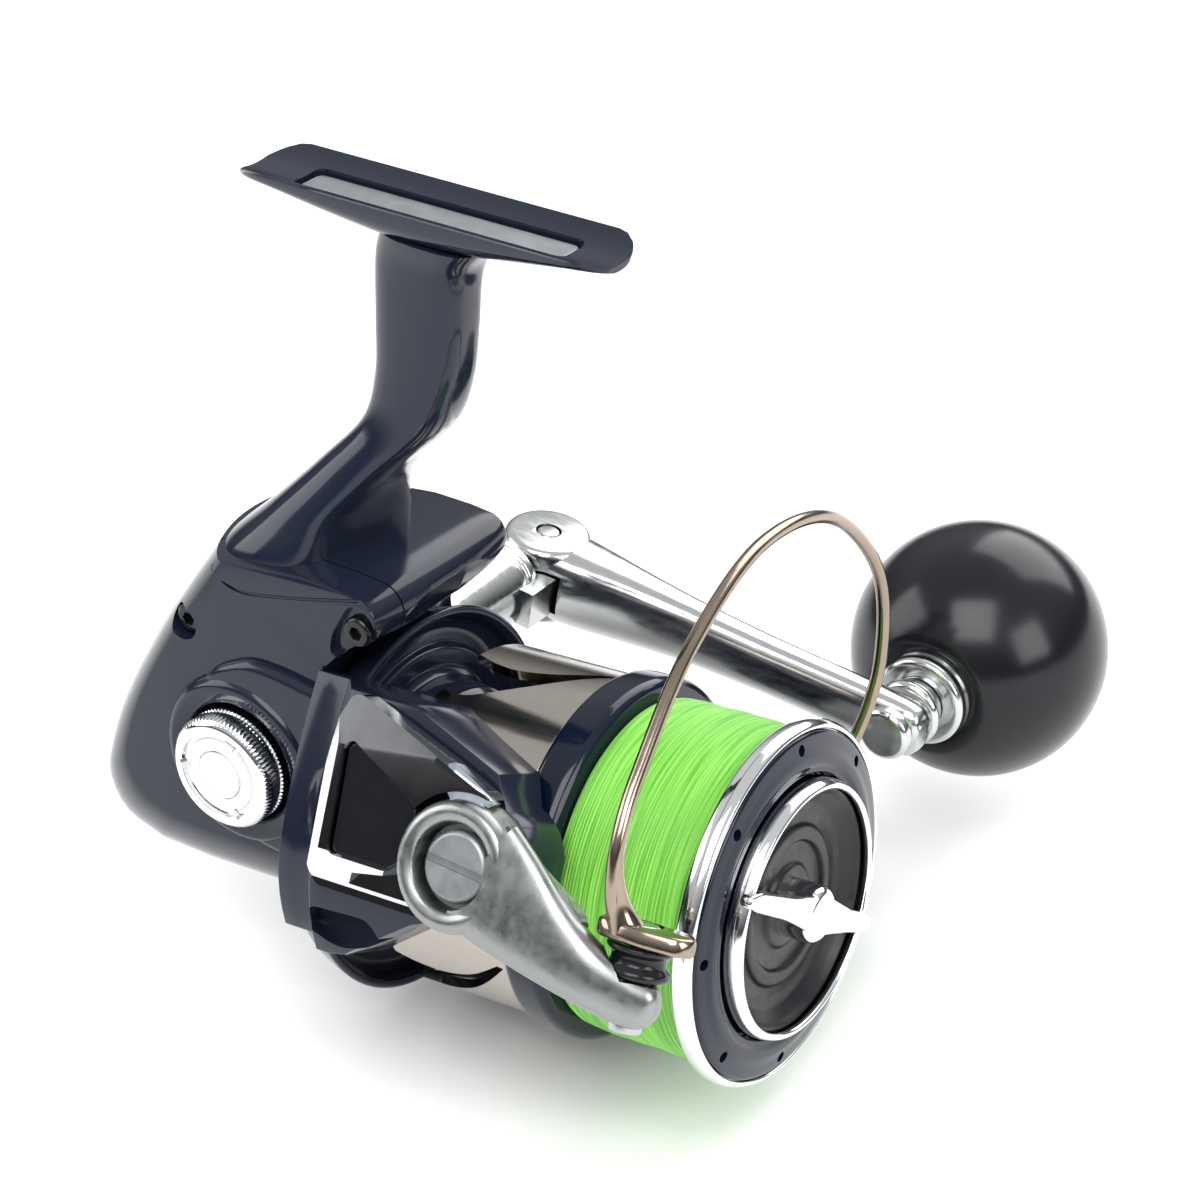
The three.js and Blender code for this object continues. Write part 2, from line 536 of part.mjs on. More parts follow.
// A crescent opening in the skirt, seen from outside; repeated round the spool.
const CRESCENT = [
  [-53, -7], ...smooth([[-46.5, -7], [-40, -2.5], [-31.5, 6.5]], 6),
  ...smooth([[-38, 2.6], [-43.5, 0.5], [-48, 0.8], [-53, 2.5]], 5),
];

function spoolBody() {
  const profile = [
    [-52, 23.8], [-52, 24.8], [-50, SPOOL_R], [-31, SPOOL_R], [-30.4, FLANGE_R], [-25.2, FLANGE_R],
    [-24.2, FLANGE_R - 0.8], [-24.2, DRUM_R], [-3.4, DRUM_R], [-3.4, 18], [-3.4, 24.4], [-2.6, 24.4], [-2.6, 18.6],
    [-3, 18.2], [-3, CHAMBER_R], [-18, CHAMBER_R], [-18, 4.2], [-20, 4.2], [-20, CHAMBER_R], [-27, CHAMBER_R],
    [-28.4, 16], [-28.4, 23.8],
  ];
  const body = turnX(profile, FINE);
  const openings = Array.from({ length: 6 }, (_, i) =>
    prismZ(CRESCENT, 20, 30).rotateX(2 * Math.PI * i / 6));
  return cut(body, ...openings);
}
add(reel, 'spool', spoolBody(), champagne);
add(reel, 'line_pack', turnX([[-23.9, DRUM_R + GAP], [-23.9, 23.4], [-22, LINE_R], [-6, LINE_R], [-3.7, 23.5],
  [-3.7, DRUM_R + GAP]], FINE), lime);
add(reel, 'spool_lip', turnX([[-3.4, 24.8], [-3.4, 25.4], [-2, LIP_R], [-0.8, 25.8], [0, 25.2], [-0.2, 24.8]], FINE),
  silver);
add(reel, 'face_ring', turnX([[-2.3, 18.9], [-2.3, 24.4], [-0.4, 24.4], [0, 23.6], [0.6, 19.6], [0.2, 18.9]], FINE),
  navy);
add(reel, 'spool_bearing', turnX(ring(-27, -24, 3.4, 6)), steel);
add(reel, 'spool_sleeve', turnX(ring(-29, -17, MAIN_SHAFT_R + GAP, 3.1)), steel);

// Drag stack in the front of the spool, held by a spring ring.
add(reel, 'drag_washer_inner', turnX(ring(-17.4, -15, 4.6, CHAMBER_R - GAP)), felt);
add(reel, 'drag_plate', turnX(ring(-14.6, -12.6, MAIN_SHAFT_R + GAP, CHAMBER_R - GAP)), steel);
add(reel, 'drag_washer_outer', turnX(ring(-12.2, -9.8, 4.6, CHAMBER_R - GAP)), felt);
add(reel, 'drag_retainer', turnX(ring(-7.8, -6.8, 12.4, CHAMBER_R - GAP)), steel);

// ---- drag knob -----------------------------------------------------------------------------

function knobBowl() {
  return turnX([[-2.4, 2.6], [-2.4, 17.4], [1.4, 17.4], [1.4, 16.6], [-0.4, 13.4], [-0.4, 9.4],
    [-1.2, 9], [-1.2, 2.6]], FINE);
}
add(reel, 'drag_knob_bowl', knobBowl(), black);
add(reel, 'drag_knob_ring', turnX([[-2.2, 17.8], [-2.2, 18.2], [1.8, 18.5], [2.9, KNOB_RING_R], [2.9, 17.2],
  [1.8, 17.1], [1.7, 17.8]], FINE), silver);
function knobBar() {
  const bar = prismX([[-16.4, -1.8], [-5, -3], [5, -3], [16.4, -1.8], [16.4, 1.8], [5, 3], [-5, 3], [-16.4, 1.8]],
    1.8, 5);
  const hub = turnX(rod(-0.6, 5.6, 4.6));
  return join(bar, hub).rotateX(THREE.MathUtils.degToRad(-33));
}
add(reel, 'drag_knob_bar', knobBar(), silver);
add(reel, 'drag_nut', cut(prismX(hexagon(5), -5.6, -3), turnX(rod(-9, 0, MAIN_SHAFT_R + GAP))), brass);

// ---- handle ---------------------------------------------------------------------------------

add(crank, 'handle_collar', turnY([[19.2, 3.1], [19.2, 9.8], [21.4, 9.6], [22.2, 8.6], [22.2, 3.1]], FINE), silver);

function handleShank() {
  const turnedPart = turnY([[-7, 0], [-7, 2.7], [22.5, 2.7], [22.5, 7], [25, 6.2], [31, 6.2], [40, 6.9], [46, 7.4],
    [49.2, 7.4], [49.2, 0]], 28);
  const tongue = prismZ([[-3, 46], [9, 46], ...arc(HINGE_X, HINGE_Y, 6, 0, 180, 9)], -3.2, 3.2);
  const pinHole = moved(turnZ(rod(-9, 9, 2.3), 16), HINGE_X, HINGE_Y, 0);
  return cut(join(turnedPart, tongue), pinHole);
}
add(crank, 'handle_shank', handleShank(), silver);
add(crank, 'hinge_pin', moved(turnZ(rod(-6.8, 6.8, 2), 16), HINGE_X, HINGE_Y, 0), steel);

function handleArm() {
  const plan = prismZ([...arc(HINGE_X, HINGE_Y, 7, 90, 270, 10), [12, 50.6], [28, 53.2],
    [44, 55.6], [HANDLE_LENGTH + 6, 56.4], [HANDLE_LENGTH + 6, 62.2], [44, 61.8], [20, 62.6], [10, 64]], -9, 9);
  const side = prismY([[-6, -7.2], [10, -6.8], [26, -5], [HANDLE_LENGTH, -4.6], ...arc(HANDLE_LENGTH, 0, 4.6, -80, 80, 6),
    [HANDLE_LENGTH, 4.6], [26, 5], [10, 6.8], [-6, 7.2]], 44, 68);
  const fork = prismZ([[-8, 44], [9.6, 44], ...arc(HINGE_X, HINGE_Y, 6.6, 0, 90, 5), [-8, HINGE_Y + 6.6]], -3.5, 3.5);
  const pinHole = moved(turnZ(rod(-10, 10, 2.3), 16), HINGE_X, HINGE_Y, 0);
  const shaftHole = moved(turnY(rod(50, 70, 2.7), 12), HANDLE_LENGTH, 0, 0);
  return cut(common(plan, side), fork, pinHole, shaftHole);
}
add(crank, 'handle_arm', handleArm(), silver);

const atKnob = (profile, steps) => moved(turnY(profile, steps), HANDLE_LENGTH, 0, 0);
add(crank, 'knob_shaft', join(
  atKnob([[54.6, 0], [54.6, 4], [55.9, 4.6], [55.9, 2.4], [60, 2.4], [95, 2.4], [95, 0]]),
  atKnob([[62.5, 0], [62.5, 6], [63.6, 6], [64.2, 4.6], [64.9, 4.6], [65.3, 5.4], [65.9, 4.6], [65.9, 0]], 24),
), silver);
add(crank, 'knob_bearing_inner', atKnob(ring(71, 74, 2.7, 5)), steel);
add(crank, 'knob_bearing_outer', atKnob(ring(89, 92, 2.7, 5)), steel);
add(crank, 'knob_flange', atKnob([[66.3, 2.8], [66.3, 4.6], [67.4, 4.6], [69, 8.8], [70, 8.8], [70, 2.8]], 24), silver);
add(crank, 'knob_screw', atKnob([[95.3, 0], [95.3, 4.4], [98, 4.4], [98, 0]], 12), steel);

function handleKnob() {
  const ball = arc(0, 0, KNOB_R, -53, 62, 12).map(([radius, along]) => [KNOB_Y + along, radius]);
  return atKnob([[70.3, 5.3], ...ball, [104.6, 7.2], [104.6, 5.3]], FINE);
}
add(crank, 'handle_knob', handleKnob(), black);
add(crank, 'knob_cap', atKnob([[102, 0], [102, 5], [105, 5], [105, 8.4], [106.4, 6], [107.2, 0]], 24), black);

export default reel;
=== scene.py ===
"""Looks of the spinning reel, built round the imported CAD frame.

Shapes are drawn in millimetres in four local frames (reel, foot, crank and rotor), whose places
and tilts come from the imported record's joints and mounts, and are turned into metres by a matrix.
"""

import json
import math

import bmesh
import bpy
from mathutils import Matrix, Vector


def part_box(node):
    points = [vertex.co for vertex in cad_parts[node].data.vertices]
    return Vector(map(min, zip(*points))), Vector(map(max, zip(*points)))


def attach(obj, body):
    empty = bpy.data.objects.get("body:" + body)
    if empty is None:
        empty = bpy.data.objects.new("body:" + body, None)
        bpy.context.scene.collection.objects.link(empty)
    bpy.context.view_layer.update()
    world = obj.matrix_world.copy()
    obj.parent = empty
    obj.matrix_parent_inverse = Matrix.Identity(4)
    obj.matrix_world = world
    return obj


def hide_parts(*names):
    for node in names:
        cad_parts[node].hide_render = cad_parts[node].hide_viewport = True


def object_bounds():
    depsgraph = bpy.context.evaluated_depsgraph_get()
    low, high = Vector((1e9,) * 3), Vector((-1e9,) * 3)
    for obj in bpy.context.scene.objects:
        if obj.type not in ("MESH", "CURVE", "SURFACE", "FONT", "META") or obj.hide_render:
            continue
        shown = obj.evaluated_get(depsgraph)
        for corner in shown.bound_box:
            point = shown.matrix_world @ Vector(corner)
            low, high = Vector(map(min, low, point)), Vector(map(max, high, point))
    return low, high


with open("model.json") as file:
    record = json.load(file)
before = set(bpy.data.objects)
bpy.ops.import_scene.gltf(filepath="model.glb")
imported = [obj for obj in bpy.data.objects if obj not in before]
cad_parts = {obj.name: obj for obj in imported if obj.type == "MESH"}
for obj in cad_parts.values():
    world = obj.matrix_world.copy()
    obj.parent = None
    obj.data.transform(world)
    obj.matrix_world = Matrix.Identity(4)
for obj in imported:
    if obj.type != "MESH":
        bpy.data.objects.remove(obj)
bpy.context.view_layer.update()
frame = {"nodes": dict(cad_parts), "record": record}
RECORD = frame["record"]

# ---- local frames ------------------------------------------------------------------------

JOINTS = {joint["name"]: joint for joint in RECORD["behaviour"]["joints"]}
MOUNTS = {mount["name"]: mount for mount in RECORD["mounts"]}
MM = Matrix.Scale(0.001, 4)
LIP_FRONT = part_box("spool_lip")[1][0]
SHAFT_AXIS = Vector(JOINTS["rotor_spin"]["pos_m"])
CRANK_AXIS = Vector(JOINTS["handle_crank"]["pos_m"])
FOLD_AXIS = Vector(JOINTS["handle_fold"]["axis"])
BAIL_AXIS = Vector(JOINTS["bail_flip"]["axis"])
SEAT_AXIS = Vector(MOUNTS["foot_seat"]["axis"])

REEL = Matrix.Translation((LIP_FRONT, 0, SHAFT_AXIS.z)) @ MM
ROTOR = REEL @ Matrix.Rotation(math.atan2(BAIL_AXIS.z, BAIL_AXIS.y), 4, "X")
FAR_ARM = ROTOR @ Matrix.Rotation(math.pi, 4, "X")
CRANK = Matrix.Translation((CRANK_AXIS.x, 0, CRANK_AXIS.z)) @ MM
CRANK = CRANK @ Matrix.Rotation(math.atan2(FOLD_AXIS.x, FOLD_AXIS.z), 4, "Y")
CAP = Matrix.Translation((CRANK_AXIS.x, 0, CRANK_AXIS.z)) @ MM
FOOT = MM @ Matrix.Rotation(math.atan2(SEAT_AXIS.x, SEAT_AXIS.z), 4, "Y")


# ---- driving sizes, in millimetres -------------------------------------------------------

FOOT_HALF = 29.4
FOOT_SIDE = 6.75
TROUGH = 1.6
BODY_HALF = 15.9
PIVOT_X = -28
ROLLER_X = -1.5
BAR_TURN = -33
ROLLER_Y = -37
SKIRT_R = 25
LINE_R = 23.9
HANDLE_LENGTH = 66.9
HINGE_X = 3
HINGE_Y = 56.5
KNOB_Y = 87
KNOB_R = 20.5
WIRE_R = 1.0

# ---- materials ---------------------------------------------------------------------------


class Paint:
    """A small helper for one procedural material."""

    def __init__(self, name, color, roughness, metallic=0.0, coat=0.0, gloss=0.32):
        self.material = bpy.data.materials.new(name)
        self.material.use_nodes = True
        self.nodes = self.material.node_tree.nodes
        self.links = self.material.node_tree.links
        self.shader = self.nodes["Principled BSDF"]
        self.shader.inputs["Metallic"].default_value = metallic
        self.shader.inputs["Roughness"].default_value = roughness
        self.shader.inputs["Coat Weight"].default_value = coat
        self.shader.inputs["Specular IOR Level"].default_value = gloss
        self.shader.inputs["Coat Roughness"].default_value = 0.04
        self.shader.inputs["Base Color"].default_value = (*color, 1)
        self.color = color
        self.roughness = roughness
        self.place = self.nodes.new("ShaderNodeTexCoord").outputs["Object"]

    def node(self, kind, **inputs):
        node = self.nodes.new(kind)
        for name, value in inputs.items():
            socket = node.inputs[name.replace("_", " ")]
            if hasattr(value, "is_output"):
                self.links.new(value, socket)
            else:
                socket.default_value = value
        return node

    def noise(self, scale, detail=3.0, stretch=(1, 1, 1)):
        mapped = self.node("ShaderNodeMapping", Vector=self.place, Scale=stretch)
        return self.node("ShaderNodeTexNoise", Vector=mapped.outputs[0], Scale=scale,
                Detail=detail).outputs[0]

    def ramp(self, value, low, high):
        node = self.node("ShaderNodeMapRange", Value=value)
        node.inputs["From Min"].default_value = 0.3
        node.inputs["From Max"].default_value = 0.7
        node.inputs["To Min"].default_value = low
        node.inputs["To Max"].default_value = high
        return node.outputs[0]

    def tint(self, value, low, high):
        node = self.nodes.new("ShaderNodeMix")
        node.data_type = "RGBA"
        self.links.new(value, node.inputs[0])
        node.inputs[6].default_value = (*low, 1)
        node.inputs[7].default_value = (*high, 1)
        self.links.new(node.outputs[2], self.shader.inputs["Base Color"])
        return node

    def vary(self, scale=400, amount=0.08, stretch=(1, 1, 1), spread=0.12):
        """Slight uneven gloss and colour, as on handled metal and paint."""
        value = self.noise(scale, stretch=stretch)
        low = max(0.02, self.roughness - amount)
        self.links.new(self.ramp(value, low, self.roughness + amount), self.shader.inputs["Roughness"])
        dark = [c * (1 - spread) for c in self.color]
        light = [min(1, c * (1 + spread)) for c in self.color]
        self.tint(value, dark, light)
        return self

    def bump(self, height, strength, distance=0.0001):
        node = self.node("ShaderNodeBump", Strength=strength, Distance=distance, Height=height)
        self.links.new(node.outputs[0], self.shader.inputs["Normal"])
        return self

    def grain(self, scale, strength, stretch=(1, 1, 1), distance=0.00005):
        return self.bump(self.noise(scale, 2.0, stretch), strength, distance)


def line_material():
    """Braided line: bright and dark bands, the dark ones painted shade in the gaps between strands, and each
    strand's tone a little different.
    """
    paint = Paint("lime_line", (0.2, 0.56, 0.06), 0.5)
    # dark bands are painted shade between the strands, mixed with tone that varies from strand to strand
    strands_and_gap_shade = paint.noise(1400, 2.0, (3.2, 0.05, 0.05))
    paint.tint(paint.ramp(strands_and_gap_shade, 0, 1), (0.075, 0.33, 0.02), (0.26, 0.66, 0.09))
    paint.shader.inputs["Sheen Weight"].default_value = 0.12
    paint.grain(2500, 0.5, (2.0, 0.6, 0.6))
    return paint.material


def make_materials():
    made = {}
    navy = Paint("navy_paint", (0.009, 0.012, 0.024), 0.13).vary(120, 0.03)
    made["navy_paint"] = navy.grain(60, 0.03, distance=0.0003).material
    made["navy_flange"] = Paint("navy_flange", (0.003, 0.006, 0.016), 0.1).vary(150, 0.03).material
    made["polished_silver"] = Paint("polished_silver", (0.72, 0.73, 0.74), 0.09, 1.0).vary(300, 0.03,
            spread=0.05).material
    made["ice_silver"] = Paint("ice_silver", (0.5, 0.56, 0.62), 0.2, 1.0).vary(300, 0.05,
            spread=0.05).material
    made["gunmetal"] = Paint("gunmetal", (0.07, 0.072, 0.075), 0.12, 1.0).vary(200, 0.04,
            spread=0.08).material
    satin = Paint("satin_silver", (0.27, 0.28, 0.275), 0.32, 1.0).vary(500, 0.08, spread=0.08)
    made["satin_silver"] = satin.grain(3000, 0.2).material
    handle = Paint("handle_silver", (0.55, 0.56, 0.555), 0.17, 1.0).vary(260, 0.05, (1, 5, 5), 0.06)
    made["handle_silver"] = handle.grain(900, 0.05, (0.3, 4, 4)).material
    skirt = Paint("champagne_silver", (0.42, 0.385, 0.345), 0.14, 1.0).vary(200, 0.04, (0.3, 3, 3), 0.05)
    made["champagne_silver"] = skirt.material
    wire = Paint("bronze_wire", (0.3, 0.24, 0.19), 0.16, 1.0).vary(300, 0.05)
    made["bronze_wire"] = wire.material
    steel = Paint("steel", (0.42, 0.42, 0.42), 0.24, 1.0).vary(500, 0.08)
    made["steel"] = steel.grain(1200, 0.1, (4, 1, 1)).material
    brass = Paint("gear_brass", (0.62, 0.46, 0.2), 0.3, 1.0).vary(400, 0.08)
    made["gear_brass"] = brass.material
    black = Paint("black_plastic", (0.006, 0.0065, 0.008), 0.17).vary(300, 0.05)
    made["black_plastic"] = black.material
    bowl = Paint("bowl_black", (0.01, 0.011, 0.013), 0.34).vary(400, 0.08)
    made["bowl_black"] = bowl.grain(1500, 0.12).material
    knob = Paint("black_knob", (0.005, 0.0055, 0.008), 0.2).vary(90, 0.04)
    made["black_knob"] = knob.grain(1800, 0.04).material
    felt = Paint("drag_felt", (0.03, 0.028, 0.025), 0.9).vary(900, 0.05)
    made["drag_felt"] = felt.grain(3000, 0.7).material
    made["lime_line"] = line_material()
    plate = Paint("plate_grey", (0.3, 0.31, 0.32), 0.4, 0.8).vary(400, 0.06)
    made["plate_grey"] = plate.grain(900, 0.1, (0.2, 6, 1)).material
    return made


MATERIALS = make_materials()
SLOT_OF = {row["node"]: row["material_slot"] for row in RECORD["subparts"]}

# ---- mesh helpers ------------------------------------------------------------------------


def piece(name, verts, faces, matrix, material, sharp=32):
    """A mesh object from millimetre vertices, smooth but for edges over the sharp angle."""
    mesh = bpy.data.meshes.new(name)
    mesh.from_pydata([matrix @ Vector(v) for v in verts], [], faces)
    bm = bmesh.new()
    bm.from_mesh(mesh)
    bmesh.ops.remove_doubles(bm, verts=bm.verts, dist=1e-7)
    bmesh.ops.dissolve_degenerate(bm, dist=1e-8, edges=bm.edges)
    bmesh.ops.recalc_face_normals(bm, faces=bm.faces)
    bm.to_mesh(mesh)
    bm.free()
    thing = bpy.data.objects.new(name, mesh)
    bpy.context.scene.collection.objects.link(thing)
    mesh.materials.append(MATERIALS[material])
    smooth(thing, sharp)
    return thing


def smooth(thing, sharp=32):
    """Smooth shading with the edges over this angle kept sharp."""
    bm = bmesh.new()
    bm.from_mesh(thing.data)
    limit = math.radians(sharp)
    for face in bm.faces:
        face.smooth = True
    for edge in bm.edges:
        edge.smooth = not (edge.is_manifold and edge.calc_face_angle(0) > limit)
    bm.to_mesh(thing.data)
    bm.free()


def bake(thing):
    """Applies the modifiers of a piece to its mesh."""
    graph = bpy.context.evaluated_depsgraph_get()
    graph.update()
    mesh = bpy.data.meshes.new_from_object(thing.evaluated_get(graph))
    thing.modifiers.clear()
    thing.data = mesh


def carve(thing, cutters, how="DIFFERENCE", sharp=32):
    """Cuts the cutters out of a piece, or joins them to it, and removes them."""
    for cutter in cutters:
        modifier = thing.modifiers.new("carve", "BOOLEAN")
        modifier.object = cutter
        modifier.operation = how
        modifier.solver = "EXACT"
    bake(thing)
    for cutter in cutters:
        bpy.data.objects.remove(cutter)
    smooth(thing, sharp)
    return thing


def soften(thing, width, segments=3, angle=32):
    """Rounds the sharp edges of a piece."""
    modifier = thing.modifiers.new("soften", "BEVEL")
    modifier.width = width * 0.001
    modifier.segments = segments
    modifier.limit_method = "ANGLE"
    modifier.angle_limit = math.radians(angle)
    modifier.harden_normals = False
    weighted = thing.modifiers.new("weighted", "WEIGHTED_NORMAL")
    weighted.keep_sharp = False
    bake(thing)
    for face in thing.data.polygons:
        face.use_smooth = True
    return thing


def belongs(thing, body, *nodes, slot=None):
    """Says which body carries a piece and which CAD nodes it stands for, and hides those nodes; the slot it
    is given is not used.
    """
    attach(thing, body)
    if nodes:
        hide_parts(*nodes)
    return thing


def rounded(profile, radius, steps=4, closed=False):
    """The same outline with its corners rounded, each by at most a third of its shorter side."""
    count = len(profile)
    result = []
    for i, point in enumerate(profile):
        if not closed and i in (0, count - 1):
            result.append(tuple(point))
            continue
        here = Vector(point)
        before = Vector(profile[i - 1]) - here
        after = Vector(profile[(i + 1) % count]) - here
        if before.length < 1e-6 or after.length < 1e-6:
            continue
        room = min(radius, 0.42 * before.length, 0.42 * after.length)
        start = here + before.normalized() * room
        end = here + after.normalized() * room
        for k in range(steps + 1):
            t = k / steps
            result.append(tuple((1 - t) ** 2 * start + 2 * t * (1 - t) * here + t * t * end))
    return result


def arc(cx, cy, radius, start, end, steps):
    points = []
    for i in range(steps + 1):
        angle = math.radians(start + (end - start) * i / steps)
        points.append((cx + radius * math.cos(angle), cy + radius * math.sin(angle)))
    return points


def through(points, steps):
    """Points on a smooth curve through a few given ones, in two or three dimensions."""
    knots = [Vector(p) for p in points]
    knots = [2 * knots[0] - knots[1], *knots, 2 * knots[-1] - knots[-2]]
    result = []
    spans = len(knots) - 3
    for i in range(steps + 1):
        at = min(i / steps * spans, spans - 1e-9)
        k = int(at)
        t = at - k
        a, b, c, d = knots[k:k + 4]
        result.append(0.5 * (2 * b + (c - a) * t + (2 * a - 5 * b + 4 * c - d) * t * t
                + (3 * b - a - 3 * c + d) * t ** 3))
    return [tuple(p) for p in result]


AXES = {
    "X": lambda along, across, up: (along, across, up),
    "Y": lambda along, across, up: (up, along, across),
    "Z": lambda along, across, up: (across, up, along),
}


def turned(name, profile, axis, matrix, material, steps=96, at=(0, 0, 0), radius_at=None, sharp=32):
    """A piece turned on an axis from (along, radius) pairs that form a closed outline."""
    verts = []
    faces = []
    count = len(profile)
    for j in range(steps):
        angle = 2 * math.pi * j / steps
        for i, (along, radius) in enumerate(profile):
            if radius_at:
                radius = radius_at(i, along, radius, angle)
            x, y, z = AXES[axis](along, radius * math.cos(angle), radius * math.sin(angle))
            verts.append((x + at[0], y + at[1], z + at[2]))
    for j in range(steps):
        for i in range(count):
            a = j * count + i
            b = j * count + (i + 1) % count
            c = (j + 1) % steps * count
            faces.append((a, b, c + (i + 1) % count, c + i))
    return piece(name, verts, faces, matrix, material, sharp)


def rod(low, high, radius):
    return [(low, 0), (low, radius), (high, radius), (high, 0)]


def prism(name, outline, axis, low, high, matrix, material, at=(0, 0, 0), sharp=32):
    """An outline in the plane across the axis, pushed along it. Y takes (x, z) pairs."""
    place = {
        "X": lambda a, b, along: (along, a, b),
        "Y": lambda a, b, along: (a, along, b),
        "Z": lambda a, b, along: (a, b, along),
    }[axis]
    count = len(outline)
    verts = []
    for along in (low, high):
        for a, b in outline:
            x, y, z = place(a, b, along)
            verts.append((x + at[0], y + at[1], z + at[2]))
    faces = [tuple(range(count)), tuple(range(count, 2 * count))]
    faces += [(i, (i + 1) % count, count + (i + 1) % count, count + i) for i in range(count)]
    return piece(name, verts, faces, matrix, material, sharp)


def loft(name, rings, matrix, material, sharp=32):
    """A skin over closed rings of the same count, with both ends closed."""
    count = len(rings[0])
    verts = [v for one in rings for v in one]
    faces = [tuple(range(count)), tuple(range((len(rings) - 1) * count, len(rings) * count))]
    for j in range(len(rings) - 1):
        for i in range(count):
            a = j * count + i
            b = j * count + (i + 1) % count
            faces.append((a, b, b + count, a + count))
    return piece(name, verts, faces, matrix, material, sharp)


def inset(outline, distance):
    """A closed outline moved inward along its normals."""
    area = sum(a[0] * b[1] - b[0] * a[1] for a, b in zip(outline, outline[1:] + outline[:1]))
    side = 1 if area > 0 else -1
    count = len(outline)
    result = []
    for i, point in enumerate(outline):
        before = (Vector(point) - Vector(outline[i - 1])).normalized()
        after = (Vector(outline[(i + 1) % count]) - Vector(point)).normalized()
        along = before + after
        if along.length < 1e-6:
            along = after
        along.normalize()
        normal = Vector((-along.y, along.x)) * side
        result.append(tuple(Vector(point) + normal * distance))
    return result


def pillow(name, outline, low, high, round_low, round_high, matrix, material, sharp=40):
    """A plate in the XZ plane with quarter-round edges on its two faces."""
    rings = []
    for k in range(7):
        angle = math.pi / 2 * k / 6
        drop = round_low * (1 - math.sin(angle))
        rings.append([(x, low + round_low * (1 - math.cos(angle)), z) for x, z in inset(outline, drop)])
    for k in range(7):
        angle = math.pi / 2 * (1 - k / 6)
        drop = round_high * (1 - math.sin(angle))
        rings.append([(x, high - round_high * (1 - math.cos(angle)), z) for x, z in inset(outline, drop)])
    return loft(name, rings, matrix, material, sharp)


def sweep(name, path, radius_at, matrix, material, sides=16, squash=1.0):
    """A round or flattened bar along a path, with rounded ends."""
    points = [Vector(p) for p in path]
    up = Vector((0, 0, 1))
    rings = []
    last = len(points) - 1
    side = None
    for i, point in enumerate(points):
        ahead = (points[min(i + 1, last)] - points[max(i - 1, 0)]).normalized()
        if side is None:
            side = ahead.cross(up).normalized()
        side = (side - ahead * side.dot(ahead)).normalized()
        lift = ahead.cross(side)
        radius = radius_at(i / last)
        turn = [2 * math.pi * k / sides for k in range(sides)]
        rings.append([tuple(point + side * radius * math.cos(a) + lift * radius * squash * math.sin(a))
                      for a in turn])
    return loft(name, rings, matrix, material, 60)


def box_cutter(x0, x1, y0, y1, z0, z1, matrix, radius=0.0):
    outline = [(x0, y0), (x1, y0), (x1, y1), (x0, y1)]
    if radius:
        outline = rounded(outline, radius, 4, closed=True)
    return prism("cutter", outline, "Z", z0, z1, matrix, "steel")


# ---- housing -----------------------------------------------------------------------------


def foot_ring(u):
    """One section across the foot at u along it: trough on top, keel below."""
    end = max(0.0, (abs(u) - (FOOT_HALF - 4.5)) / 4.5)
    half = FOOT_SIDE * math.sqrt(max(0.03, 1 - 0.85 * end * end))
    depth = 0.9 + 5.0 * max(0.0, 1 - (abs(u) / (FOOT_HALF + 1)) ** 1.5)
    steps = 14
    top = []
    for k in range(steps + 1):
        y = -half + 2 * half * k / steps
        top.append((u, y, TROUGH * (y / FOOT_SIDE) ** 2))
    edge = top[-1][2]
    below = []
    for k in range(1, steps):
        angle = math.pi * k / steps
        y = half * math.cos(angle)
        z = edge - depth * math.sin(angle) ** 0.75
        below.append((u, y * 0.995, z))
    return top + below


def build_foot():
    stations = [-FOOT_HALF + FOOT_HALF * 2 * k / 40 for k in range(41)]
    ends = [FOOT_HALF - 0.35, FOOT_HALF - 0.9]
    stations = sorted(stations + ends + [-e for e in ends])
    foot = loft("foot", [foot_ring(u) for u in stations], FOOT, "navy_paint", 50)
    outline = rounded([(-21, -3.2), (22.5, -3.2), (22.5, 3.2), (-21, 3.2)], 1.6, 5, closed=True)
    recess = prism("cutter", outline, "Z", -1.15, 3, FOOT, "steel")
    return carve(foot, [recess], sharp=40)


REAR_EDGE = [(-59.6, 89.6), (-61.2, 85), (-62, 76), (-62.6, 68), (-65, 61), (-72, 54), (-80.2, 46.6),
             (-88.6, 39.6), (-96, 31)]
FRONT_EDGE = [(-43.2, 88), (-46.6, 83.5), (-48, 75), (-49.6, 67.5), (-53, 60.5), (-60, 53.6), (-65.6,
        47), (-67,
        40),
              (-64, 33)]
STEM_HALF = [(6.2, 0), (5.1, 0), (5.0, 0), (5.4, 0), (6.4, 0), (8.6, 0), (11.8, 0), (14.6, 0), (13.4, 0)]


def build_stem():
    """The stem: rounded-box sections between its rear and front edges, widest near its root."""
    steps = 56
    rears = through(REAR_EDGE, steps)
    fronts = through(FRONT_EDGE, steps)
    halves = through(STEM_HALF, steps)
    rings = []
    for rear, front, (half, _) in zip(rears, fronts, halves):
        middle = (Vector(rear) + Vector(front)) / 2
        reach = (Vector(front) - Vector(rear)) / 2
        section = []
        for k in range(48):
            angle = 2 * math.pi * k / 48
            c, s = math.cos(angle), math.sin(angle)
            spot = middle + reach * math.copysign(abs(c) ** 0.5, c)
            width = half * (1 - 0.24 * max(0.0, -c))
            section.append((spot.x, width * math.copysign(abs(s) ** 0.62, s), spot.y))
        rings.append(section)
    return loft("stem_casting", rings, REEL, "navy_paint", 60)


HOUSING = (
    [(-61.6, 29.6), (-57.6, 32.2), *arc(-58.2, 36.4, 4.2, -60, 70, 8), (-62, 41.2), (-70, 41.8), (-88.5,
        40.8)]
    + through([(-93.5, 34.6), (-100, 26.2), (-107, 16), (-113, 6), (-117, -3), (-118.4, -9.5),
               (-115.5, -15.6), (-108, -18.8)], 22)
    + [(-98, -19.4), (-84, -19.4), (-70.5, -19.2), (-68.2, -17.5), (-68.2, 20), (-66.6, 24.6)]
)
SEAM = -10.2
TAPER_CORNER = (-60, 38)
SIDE_TAPER = 0.19
EDGE_TAPER = 0.05
EDGE_WIDTH = 4.0


